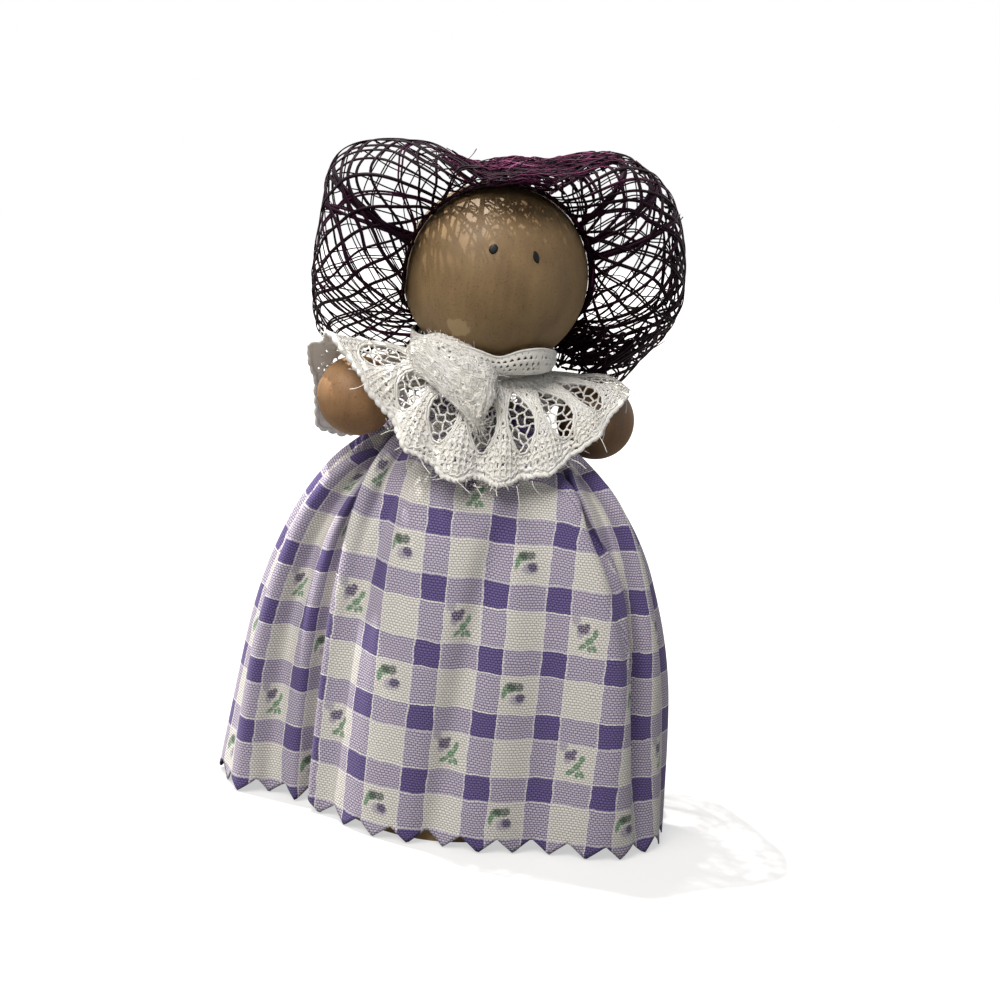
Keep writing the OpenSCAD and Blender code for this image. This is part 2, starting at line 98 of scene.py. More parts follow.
def ringValue(table, angle):
    # smooth value of a closed table, at an angle from the front towards +X
    table = np.asarray(table, float)
    place = np.mod(np.asarray(angle, float) / 360, 1) * len(table)
    i = np.floor(place).astype(int)
    near = [table[(i + k) % len(table)] for k in (-1, 0, 1, 2)]
    return spline(*near, place - i)


def lineValue(table, t):
    # smooth value or row of an open table, at a share from 0 to 1
    table = np.asarray(table, float)
    last = len(table) - 1
    place = np.clip(np.asarray(t, float), 0, 1) * last
    i = np.minimum(np.floor(place).astype(int), last - 1)
    near = [table[np.clip(i + k, 0, last)] for k in (-1, 0, 1, 2)]
    t = place - i
    return spline(*near, t if table.ndim == 1 else t[..., None])


def between(table, row, column):
    # a grid of numbers or points, read between its rows and columns
    i = np.clip(row.astype(int), 0, table.shape[0] - 2)
    j = np.clip(column.astype(int), 0, table.shape[1] - 2)
    u, v = row - i, column - j
    if table.ndim > 2:
        u, v = u[..., None], v[..., None]
    return ((table[i, j] * (1 - v) + table[i, j + 1] * v) * (1 - u)
            + (table[i + 1, j] * (1 - v) + table[i + 1, j + 1] * v) * u)


def ease(x):
    x = np.clip(x, 0, 1)
    return x * x * (3 - 2 * x)


def unit(v):
    return v / np.maximum(np.linalg.norm(v, axis=-1, keepdims=True), 1e-9)


def around(angle):
    a = np.radians(angle)
    return np.stack([np.sin(a), -np.cos(a), np.zeros_like(a)], -1)


def bump(x, width):
    return np.exp(-(x / width) ** 2)


def turned(x):
    # an angle brought between -180 and 180
    return (x + 180) % 360 - 180


class waves:
    # smooth noise from a few sines with seeded directions
    def __init__(self, seed, size, count=6):
        own = np.random.default_rng(seed)
        turn = own.uniform(0, 2 * np.pi, count)
        rate = 2 * np.pi / size * own.uniform(0.6, 1.4, count)
        self.kx, self.ky = rate * np.cos(turn), rate * np.sin(turn)
        self.start = own.uniform(0, 2 * np.pi, count)
        self.scale = np.sqrt(2 / count)

    def __call__(self, x, y):
        x, y = np.asarray(x, float)[..., None], np.asarray(y, float)[..., None]
        return np.sin(x * self.kx + y * self.ky + self.start).sum(-1) * self.scale


# the ball of the head, and the arms' swing: degrees each way, the height of the wire's middle, positions looked at
head = {"radius": 15.0, "middle": np.array([0, 0, 91.0])}
swing = {"turn": 15.0, "height": 73.491, "steps": 7}


def outward(turn, rise):
    # the direction out of a ball, from its front: degrees towards +X, then upwards
    a, e = math.radians(turn), math.radians(rise)
    return np.array([math.sin(a) * math.cos(e), -math.cos(a) * math.cos(e), math.sin(e)])


def handBalls():
    # the balls of both hands as they swing with the arms
    balls = []
    for name in ("right_hand", "left_hand"):
        low, high = (np.array(corner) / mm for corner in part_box(name))
        x, y, z = (low + high) / 2 - [0, 0, swing["height"]]
        for turn in np.radians(np.linspace(-swing["turn"], swing["turn"], swing["steps"])):
            c, s = math.cos(turn), math.sin(turn)
            balls.append((np.array([x, y * c - z * s, y * s + z * c + swing["height"]]), (high - low).max() / 2))
    return balls


swungBalls = handBalls()


def clearOfHands(points, gap):
    # cloth and straw leave room for the hands' swing
    points = np.array(points)
    for middle, radius in swungBalls:
        away = points - middle
        far = np.linalg.norm(away, axis=-1, keepdims=True)
        points = points + away / far * np.maximum(radius + gap - far, 0)
    return points


def addPiece(name, points, faces, material, slot, node=None):
    # a piece of the doll's body, and the CAD node it stands for; slot is not used
    mesh = bpy.data.meshes.new(name)
    mesh.from_pydata((np.asarray(points) * mm).tolist(), [], faces)
    mesh.update()
    mesh.shade_smooth()
    mesh.materials.append(material)
    piece = bpy.data.objects.new(name, mesh)
    scene.collection.objects.link(piece)
    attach(piece, "doll")
    if node:
        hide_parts(node)
    return piece


def setAttribute(piece, name, values, kind="FLOAT"):
    layer = piece.data.attributes.new(name, kind, "POINT")
    layer.data.foreach_set("value" if kind == "FLOAT" else "vector", np.asarray(values, np.float32).ravel())


def clothPiece(name, front, back, keep, material, slot, node=None, closed=True, place=None):
    # a cloth with two faces from grids of points; squares that keep leaves out are holes
    rows, columns = front.shape[:2]
    count = rows * columns
    across = columns if closed else columns - 1
    index = np.arange(count).reshape(rows, columns)
    if closed:
        index = np.concatenate([index, index[:, :1]], 1)
    a, b = index[:-1, :-1], index[:-1, 1:]
    c, d = index[1:, 1:], index[1:, :-1]
    outside = np.stack([a, d, c, b], -1)[keep]
    inside = np.stack([a, b, c, d], -1)[keep] + count
    opened = np.zeros((rows + 1, across + 2), bool)
    opened[1:-1, 1:-1] = keep
    if closed:
        opened[:, 0], opened[:, -1] = opened[:, -2], opened[:, 1]
    sides = []
    for down, over, first, second in ((-1, 0, a, b), (1, 0, c, d), (0, -1, d, a), (0, 1, b, c)):
        edge = keep & ~opened[1 + down:rows + down, 1 + over:across + 1 + over]
        p, q = first[edge], second[edge]
        sides.append(np.stack([p, q, q + count, p + count], -1))
    faces = np.concatenate([outside, inside, *sides])
    points = np.concatenate([front.reshape(-1, 3), back.reshape(-1, 3)])
    used = np.unique(faces)
    number = np.full(2 * count, -1)
    number[used] = np.arange(len(used))
    piece = addPiece(name, points[used], number[faces].tolist(), material, slot, node)
    if place is not None:
        setAttribute(piece, "clothPlace", np.concatenate([place.reshape(count, 3)] * 2)[used], "FLOAT_VECTOR")
    return piece


def strandPiece(name, strands, material, slot, node=None, sides=4):
    # each strand: points (n, 3), surface normals (n, 3), width, thickness, shade
    points, faces, shade = [], [], []
    start = 0
    turn = (np.arange(sides) + 0.5) * 2 * np.pi / sides
    grow = 1 / np.cos(np.pi / sides) if sides == 4 else 1
    k = np.arange(sides)[None]
    after = (k + 1) % sides
    for path, normal, width, thick, tone in strands:
        n = len(path)
        if n < 2:
            continue
        forward = unit(np.gradient(path, axis=0))
        level = unit(np.cross(normal, forward))
        up = np.cross(forward, level)
        width, thick = np.broadcast_to(width, n), np.broadcast_to(thick, n)
        ring = (path[:, None] + np.cos(turn)[None, :, None] * (level * width[:, None] / 2 * grow)[:, None]
                + np.sin(turn)[None, :, None] * (up * thick[:, None] / 2 * grow)[:, None])
        points.append(ring.reshape(-1, 3))
        base = start + np.arange(n - 1)[:, None] * sides
        tube = np.stack([base + k, base + after, base + sides + after, base + sides + k], -1)
        final = start + (n - 1) * sides
        faces += tube.reshape(-1, 4).tolist() + [[start + i for i in reversed(range(sides))],
                                                 [final + i for i in range(sides)]]
        shade.append(np.full(n * sides, tone))
        start += n * sides
    piece = addPiece(name, np.concatenate(points), faces, material, slot, node)
    setAttribute(piece, "shade", np.concatenate(shade))
    return piece


def looseFibre(start, normal, way, size, bend, steps, width, thick, tone):
    # a fibre that leaves its cloth at start and curls away
    t = np.linspace(0, 1, steps)[:, None]
    path = start + way * size * t + bend * size * t * t
    return path, np.repeat(np.reshape(normal, (1, 3)), steps, 0), width, thick, tone


# camera, floor and light

view = {"azimuth": -11.0, "elevation": 14.0, "roll": 6.5, "lens": 66, "place": (-51.9, -292.4, 127.8)}


def addCamera():
    a, e, r = (math.radians(view[k]) for k in ("azimuth", "elevation", "roll"))
    back = Vector((math.sin(a) * math.cos(e), -math.cos(a) * math.cos(e), math.sin(e)))
    level = Vector((math.cos(a), math.sin(a), 0))
    right = level * math.cos(r) + back.cross(level) * math.sin(r)
    up = back.cross(right)
    camera = bpy.data.objects.new("camera", bpy.data.cameras.new("camera"))
    camera.data.lens = view["lens"]
    camera.data.sensor_width = 36
    camera.data.clip_start = 0.01
    camera.matrix_world = Matrix((right, up, back)).transposed().to_4x4()
    camera.location = Vector(view["place"]) * mm
    scene.collection.objects.link(camera)
    scene.camera = camera


light = {
    "world": 0.26, "sky": "#F2F4F8", "lamp": "#FFFAF4",
    "key": 5.2, "keyAngle": 1.2, "keyFrom": (-0.25, 0.21, 0.94),
    "fill": 2.45, "fillAngle": 34.0, "fillFrom": (-0.45, -0.42, 0.78),
    "floorSize": 1.6, "floorWhite": 0.55, "floorPaper": "#62625F", "floorSeen": "#F4F4F4"}
white = (1, 1, 1, 1)


def addLight():
    # the camera and shiny surfaces see a white studio, and the rest gets its softer light
    world = bpy.data.worlds.new("studio")
    world.use_nodes = True
    scene.world = world
    tree = world.node_tree
    tree.nodes.clear()
    rays = addNode(tree, "LightPath").outputs
    seen = addNode(tree, "Math", {0: rays["Is Camera Ray"], 1: rays["Is Glossy Ray"]}, operation="MAXIMUM")
    soft = addNode(tree, "Background", {"Color": hexToLinear(light["sky"]), "Strength": light["world"]})
    plain = addNode(tree, "Background", {"Color": white, "Strength": 1.0})
    addNode(tree, "OutputWorld", {"Surface": addNode(tree, "MixShader", {0: seen, 1: soft, 2: plain})})
    for name in ("key", "fill"):
        lamp = bpy.data.lights.new(name, "SUN")
        lamp.energy = light[name]
        lamp.angle = math.radians(light[name + "Angle"])
        lamp.color = hexToLinear(light["lamp"])[:3]
        holder = bpy.data.objects.new(name, lamp)
        holder.rotation_mode = "QUATERNION"
        holder.rotation_quaternion = Vector(light[name + "From"]).to_track_quat("Z", "Y")
        scene.collection.objects.link(holder)


def addFloor():
    # pale paper that sends little light back up; seen straight on it is nearly white and keeps a soft shadow
    half = light["floorSize"] / 2
    mesh = bpy.data.meshes.new("floor")
    mesh.from_pydata([(-half, -half, 0), (half, -half, 0), (half, half, 0), (-half, half, 0)], [], [(0, 1, 2, 3)])
    floor = bpy.data.objects.new("floor", mesh)
    scene.collection.objects.link(floor)
    material, tree, shader = newMaterial("pale paper floor")
    seen = addNode(tree, "LightPath").outputs["Is Camera Ray"]
    tone = addNode(tree, "Mix", {"Factor": seen, "A": hexToLinear(light["floorPaper"]),
                                 "B": hexToLinear(light["floorSeen"])}, data_type="RGBA")
    feed(tree, shader, {"Base Color": tone, "Roughness": 0.9})
    glow = addNode(tree, "Emission", {"Color": white, "Strength": 1.0})
    share = addNode(tree, "Math", {0: seen, 1: light["floorWhite"]}, operation="MULTIPLY")
    feed(tree, tree.nodes["Material Output"], {"Surface": addNode(tree, "MixShader", {0: share, 1: shader, 2: glow})})
    mesh.materials.append(material)


addCamera()
addLight()
addFloor()
print("camera, light and floor set")


# wood, wire and enamel

wood = {
    # the tone of each piece and the dark of its grain
    # the left bead's tones are painted shade: a darker copy of the same waxed beech as the other bead
    "head": ("#967B55", "#6A5233"), "bead": ("#B48C62", "#7E5A3A"), "shadedBead": ("#8E6C4A", "#604630"),
    "peg": ("#C9A878", "#AE8B5C"), "pore": "#8A6A48", "speckleMm": 0.35, "grainMm": 1.6, "cloudMm": 9,
    # how far the grain is drawn out upwards, the amount of pores, the shine's roughness, the dents' depth in mm
    "drawnOut": 0.12, "pores": 0.45, "roughness": (0.5, 0.66), "dent": 0.06,
    # the place low on the cheek, rubbed paler: degrees round and up the ball, radius in mm, strength
    "rubbed": (-31.5, -29.5, 1.9, 0.5), "rubbedTone": "#C8AD82"}


def turnedWood(name, tones, rubbed=None):
    # turned and sanded beech, stained and waxed but for the peg: fine dark pores, a faint ring grain, a dull shine
    material, tree, shader = newMaterial(name)
    place = addNode(tree, "TexCoord").outputs["Object"]
    drawn = addNode(tree, "Mapping", {"Vector": place, "Scale": (1, 1, wood["drawnOut"])})
    grain = addNode(tree, "TexNoise", {"Vector": drawn, "Scale": 1 / (wood["grainMm"] * mm), "Detail": 3,
                                       "Roughness": 0.6})
    speckle = addNode(tree, "TexNoise", {"Vector": place, "Scale": 1 / (wood["speckleMm"] * mm), "Detail": 2,
                                         "Roughness": 0.7})
    cloud = addNode(tree, "TexNoise", {"Vector": place, "Scale": 1 / (wood["cloudMm"] * mm), "Detail": 2})
    both = addNode(tree, "Math", {0: grain, 1: 0.5, 2: cloud}, operation="MULTIPLY_ADD")
    ramp = addNode(tree, "ValToRGB", {0: both})
    setStops(ramp, [(0.45, tones[1]), (1.0, tones[0])])
    pores = addNode(tree, "MapRange", {"Value": speckle, "From Min": 0.55, "From Max": 0.72, "To Max": wood["pores"]})
    colour = addNode(tree, "Mix", {"Factor": pores, "A": ramp, "B": hexToLinear(wood["pore"])},
                     data_type="RGBA", blend_type="MULTIPLY")
    if rubbed:
        # a rubbed place, where the paler wood shows through the stain
        turn, rise, radius, strength = rubbed
        spot = (head["middle"] + head["radius"] * outward(turn, rise)) * mm
        radius = radius * mm
        gap = addNode(tree, "VectorMath", {0: place, 1: spot}, operation="DISTANCE")
        ragged = addNode(tree, "Math", {0: grain, 1: radius * 1.7, 2: gap}, operation="MULTIPLY_ADD")
        amount = addNode(tree, "MapRange", {"Value": ragged, "From Min": radius * 1.85, "From Max": radius * 1.7,
                                            "To Max": strength})
        colour = addNode(tree, "Mix", {"Factor": amount, "A": colour, "B": hexToLinear(wood["rubbedTone"])},
                         data_type="RGBA")
    rough = addNode(tree, "MapRange", {"Value": grain, "From Min": 0.3, "From Max": 0.7,
                                       "To Min": wood["roughness"][0], "To Max": wood["roughness"][1]})
    dent = addNode(tree, "Bump", {"Strength": 0.25, "Distance": wood["dent"] * mm, "Height": speckle})
    feed(tree, shader, {"Base Color": colour, "Roughness": rough, "Normal": dent})
    return material


def plainMaterial(name, tone, values):
    material, tree, shader = newMaterial(name)
    feed(tree, shader, {"Base Color": hexToLinear(tone), **values})
    return material


pegWood = turnedWood("bare beech peg", wood["peg"])
# drawn wire is dull grey, its draw marks too fine to show, and brushed enamel stands thick with a soft shine
steel = plainMaterial("drawn steel wire", "#B4B0A8", {"Metallic": 1.0, "Roughness": 0.42})
enamel = plainMaterial("brushed black enamel", "#0B0A0A", {"Roughness": 0.4, "Specular IOR Level": 0.2})

for nodeName, material in (
        # the head's tones are darker than the beads', partly as painted shade of the bonnet
        ("head", turnedWood("stained beech head with painted shade", wood["head"], wood["rubbed"])),
        ("right_hand", turnedWood("waxed beech bead", wood["bead"])),
        # painted shade: the left bead takes a darker copy of the same bead wood
        ("left_hand", turnedWood("waxed beech bead with painted shade", wood["shadedBead"])),
        ("peg", pegWood), ("stand_ring", pegWood), ("arm_wire", steel)):
    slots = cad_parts[nodeName].data.materials
    slots.clear()
    slots.append(material)
print("wood, wire and enamel made")


# eyes: two brushed dots of enamel

eyes = {"right": {"turn": -13.1, "rise": 22.2, "lean": -6, "width": 1.3, "height": 1.75},
        "left": {"turn": 14.9, "rise": 19.6, "lean": 16, "width": 1.0, "height": 2.05},
        "crown": 0.14, "sunk": 0.02, "square": 0.85, "uneven": 0.06, "rings": 7, "sides": 28}


def addEye(name, facts, node):
    rings, sides = eyes["rings"], eyes["sides"]
    a, lean = math.radians(facts["turn"]), math.radians(facts["lean"])
    out = outward(facts["turn"], facts["rise"])
    side = np.array([math.cos(a), math.sin(a), 0.0])
    up = np.cross(out, side)
    points = [out * (head["radius"] + eyes["crown"])]
    for k in range(1, rings + 1):
        share = k / rings
        for i in range(sides):
            t = 2 * math.pi * i / sides
            x, y = (math.copysign(abs(wave) ** eyes["square"], wave) * size / 2 * share
                    for wave, size in ((math.cos(t), facts["width"]), (math.sin(t), facts["height"])))
            x += eyes["uneven"] * math.sin(3 * t + 1) * share * facts["width"]
            px, py = x * math.cos(lean) - y * math.sin(lean), x * math.sin(lean) + y * math.cos(lean)
            height = head["radius"] + eyes["crown"] * (1 - share ** 4) - eyes["sunk"] * (k == rings)
            points.append(unit(out * head["radius"] + side * px + up * py) * height)
    faces = [[0, 1 + i, 1 + (i + 1) % sides] for i in range(sides)]
    for first in range(1, 1 + (rings - 1) * sides, sides):
        for i in range(sides):
            j = (i + 1) % sides
            faces.append([first + i, first + sides + i, first + sides + j, first + j])
    faces.append([1 + (rings - 1) * sides + i for i in reversed(range(sides))])
    addPiece(name, np.array(points) + head["middle"], faces, enamel, "eye_paint", node)


addEye("rightEyeDot", eyes["right"], "right_eye")
addEye("leftEyeDot", eyes["left"], "left_eye")
print("eyes painted")


# skirt: printed gingham, cut with pinking shears and gathered at the neck

skirt = {
    "length": 228.0, "teeth": 38, "toothDepth": 2.5, "thickness": 0.26, "columns": 480, "rows": 99,
    "hemWidth": 76.0, "hemShares": [
        0.600, 0.640, 0.690, 0.890, 1.050, 0.950, 0.870, 0.865, 0.830, 0.780, 0.750, 0.740,
        0.735, 0.745, 0.770, 0.820, 0.900, 0.975, 0.960, 0.660, 0.600, 0.600, 0.590, 0.590],
    # down the bell: share of its reach, then of its height
    "rowShares": [[0.00, 1.000], [0.21, 0.950], [0.40, 0.876], [0.588, 0.785], [0.756, 0.640], [0.902, 0.405],
                  [1.00, 0.000]],
    # folds that hang from the neck: angle high up, angle at the hem, depth, width, where it starts and ends
    "folds": [
        [-96, -80, -5.6, 6.0, 0.10, 1.6], [-80, -69, 1.5, 5.0, 0.10, 1.6],
        [-50, -46, 0.6, 4.0, 0.20, 0.95], [-66, -64, -0.8, 4.5, 0.10, 1.2], [34, -12, -1.9, 9.0, 0.40, 1.5],
        [34, 46, 2.6, 6.0, 0.15, 1.1], [44, 58, -3.2, 5.0, 0.15, 1.1], [55, 68, 1.2, 6.0, 0.15, 1.2],
        [75, 88, -2.2, 7.0, 0.15, 1.4], [120, 124, -1.8, 8.0, 0.15, 1.6], [165, 168, 1.2, 9.0, 0.15, 1.6],
        [205, 200, -1.8, 8.0, 0.15, 1.6], [240, 238, 1.2, 8.0, 0.15, 1.6]],
    # the flat front panel's sides, high up and at the hem; places where more cloth is gathered: angle high up,
    # degrees it moves by the hem, amount, width
    "panel": [[-72, -79], [40, 60]], "gathers": [[-92, 13, 1.6, 7], [49, 14, 1.0, 6]], "gatherPitch": 12.0,
    "anchor": -6.0, "tieHeight": 69.491, "waist": 5.4, "hemLift": 0.15, "floorGap": 0.05, "handGap": 0.35,
    # shares of the way down over which a fold comes and goes; degrees over which the panel's edge goes over into
    # gathers; shares of the way down where the panel starts and over which it flattens, and where the small
    # gathers start to join; mm of cloth over which the teeth fade; largest gather and slow wave in mm
    "foldIn": 0.3, "foldOut": 0.25, "panelEdge": 9, "flatFrom": 0.10, "flatOver": 0.22, "joinFrom": 0.12,
    "joinOver": 0.25, "toothFade": 9, "largest": 1.7, "slow": 0.22}


def skirtBase(angle, down):
    # a smooth bell with its named folds: angle from the front, down from 0 at the tie to 1 at the hem
    share = lineValue(skirt["rowShares"], down)
    hem = skirt["hemWidth"] / 2 * ringValue(skirt["hemShares"], angle)
    reach = skirt["waist"] + (hem - skirt["waist"]) * share[..., 0]
    for high, low, depth, width, top, end in skirt["folds"]:
        fold = depth * bump(turned(angle - (high + (low - high) * down)), width)
        reach = reach + fold * ease((down - top) / skirt["foldIn"]) * ease((end - down) / skirt["foldOut"])
    z = skirt["hemLift"] + (skirt["tieHeight"] - skirt["hemLift"]) * share[..., 1]
    return around(angle) * reach[..., None] + np.stack([z * 0, z * 0, z], -1)


def skirtGrid():
    columns, rows, length = skirt["columns"], skirt["rows"], skirt["length"]
    fine, steps = 720, 260
    angle = skirt["anchor"] - 180 + 360 * np.arange(fine + 1) / fine
    down = np.linspace(0, 1, steps)
    line = skirtBase(np.repeat(angle[:, None], steps, 1), np.repeat(down[None], fine + 1, 0))
    run = np.cumsum(np.linalg.norm(np.diff(line, axis=1), axis=2), 1)
    run = np.concatenate([np.zeros((fine + 1, 1)), run], 1)
    total = run[:, -1]
    level = np.linspace(0, 1, rows)
    # from the share of the way up the cloth to the share of the way down the bell
    upTable = np.array([np.interp(total[j] * (1 - down), run[j], down) for j in range(fine + 1)])

    def sample(table, a, b):
        # a table over angle and a share from 0 to 1
        return between(table.T, np.clip(b, 0, 1) * (steps - 1), (a - angle[0]) / (angle[-1] - angle[0]) * fine)

    place = (np.arange(columns) / columns - 0.5) * length
    wide, density = np.empty((rows, columns)), np.empty((rows, columns))
    for r in range(rows):
        low = upTable[:, min(int(round(level[r] * (steps - 1))), steps - 1)]
        piece = np.linalg.norm(np.diff(skirtBase(angle, low), axis=0), axis=1)
        middle, depth = (angle[1:] + angle[:-1]) / 2, (low[1:] + low[:-1]) / 2
        # the front panel hangs flat, and the cloth that it leaves over is gathered at its sides and behind
        left, right = (high + (hem - high) * depth for high, hem in skirt["panel"])
        edge = skirt["panelEdge"]
        flat = ease((turned(middle) - left) / edge) * ease((right - turned(middle)) / edge)
        extra = 1 - flat * ease((depth - skirt["flatFrom"]) / skirt["flatOver"])
        for at, slope, amount, width in skirt["gathers"]:
            extra = extra + amount * bump(turned(middle - (at + slope * depth)), width)
        spare = max(length - piece.sum(), 0)
        thick = 1 + spare * extra / (extra * piece).sum()
        cum = np.concatenate([[0], np.cumsum(thick * piece)])
        cum *= length / cum[-1]
        s = np.mod(place + np.interp(skirt["anchor"], angle, cum), length)
        wide[r] = np.interp(s, cum, angle)
        density[r] = np.interp(s, (cum[1:] + cum[:-1]) / 2, thick)
    cloth = np.repeat(place[None], rows, 0)
    reachUp = sample(np.repeat(total[:, None], steps, 1), wide, wide * 0)
    height = level[:, None] * reachUp
    tooth = np.abs((place / length * skirt["teeth"] + 0.5) % 1 - 0.5) * 2 * skirt["toothDepth"]
    height = height + np.maximum(0, 1 - height / skirt["toothFade"]) * tooth[None]
    lower = sample(upTable, wide, height / reachUp)
    side = skirtBase(wide + 0.3, lower) - skirtBase(wide - 0.3, lower)
    drop = skirtBase(wide, np.minimum(lower + 0.008, 1)) - skirtBase(wide, np.maximum(lower - 0.008, 0))
    out = unit(np.cross(drop, side))
    # spare cloth stands in gathers: many small ones at the neck, which run together into larger ones
    spare = np.sqrt(np.maximum(density - 1.02, 0)) / density / np.pi
    drift, vary = waves(3, 70)(cloth, height * 0.2), waves(4, 30)(cloth, height * 0.15)
    pitch = skirt["gatherPitch"]
    turn = 2 * np.pi * cloth / pitch
    many = ease((lower - skirt["joinFrom"]) / skirt["joinOver"])
    small = np.cos(2 * turn + drift) * (pitch / 2) * spare
    large = np.cos(turn + 0.8 * drift) * np.minimum(pitch * spare, skirt["largest"]) * (0.85 + 0.2 * vary)
    slow = waves(5, 30)(cloth, height * 0.3) * skirt["slow"] * ease(lower * 2)
    front = skirtBase(wide, lower) + out * (small * (1 - many) + large * many + slow)[..., None]
    front = clearOfHands(front, skirt["handGap"])
    front[..., 2] = np.maximum(front[..., 2], skirt["floorGap"])
    hem = np.linalg.norm(np.diff(front[0], axis=0), axis=1).sum()
    print("skirt: hem, shortest and longest fall in mm",
          [round(float(size), 1) for size in (hem, total.min(), total.max())])
    return front, out, cloth, height


gingham = {
    # in mm: the repeat, its coloured stripe and thin white line, where the repeat starts, the length of a dash and
    # the pitch of the threads, close to a real cotton's 0.45
    "repeat": 10.6, "stripe": 4.1, "line": 0.26, "across": 7.8, "up": -9.0, "dash": 0.64, "thread": 0.42,
    # each pair is the thread on top and the dip between threads, darkened there as painted shade
    "cream": ("#F6F4F0", "#B2ADA6"), "lilac": ("#D0C9D8", "#786C8C"), "violet": ("#7264A0", "#40325C"),
    "white": ("#FAF8F4", "#C6C0C8"),
    # printed marks of the two kinds of sprig, in mm from the middle of a white square: across, up, half width,
    # half height, turn in degrees; the second kind's marks lie "kindApart" further across
    "kindApart": 20.0, "sprigs": [
        ("#7D7199", 0.55, [(-2.2, 2.8, 0.8, 1.1, 10), (-1.4, 0.3, 0.55, 0.7, 30), (19.9, -0.7, 1.4, 1.0, 0)]),
        ("#3E7A4C", 0.85, [(0.3, -0.5, 0.85, 0.6, 50), (1.1, 0.7, 0.45, 0.85, -20), (-0.7, -1.6, 0.75, 0.4, 35),
                           (1.2, -1.6, 0.45, 0.65, 35), (0.4, -1.8, 0.35, 0.5, 0), (17.6, 0.5, 0.45, 1.2, -8),
                           (18.4, 1.2, 0.9, 0.7, 20)]),
        ("#2F4238", 0.85, [(18.9, 1.5, 1.25, 0.75, -8), (19.9, 1.5, 0.75, 0.8, 0)]),
        ("#3E2C5C", 0.9, [(-0.9, 1.2, 1.05, 0.8, -20), (-0.2, 1.8, 0.55, 0.5, 0), (20.3, -0.4, 0.85, 0.75, 0)])]}


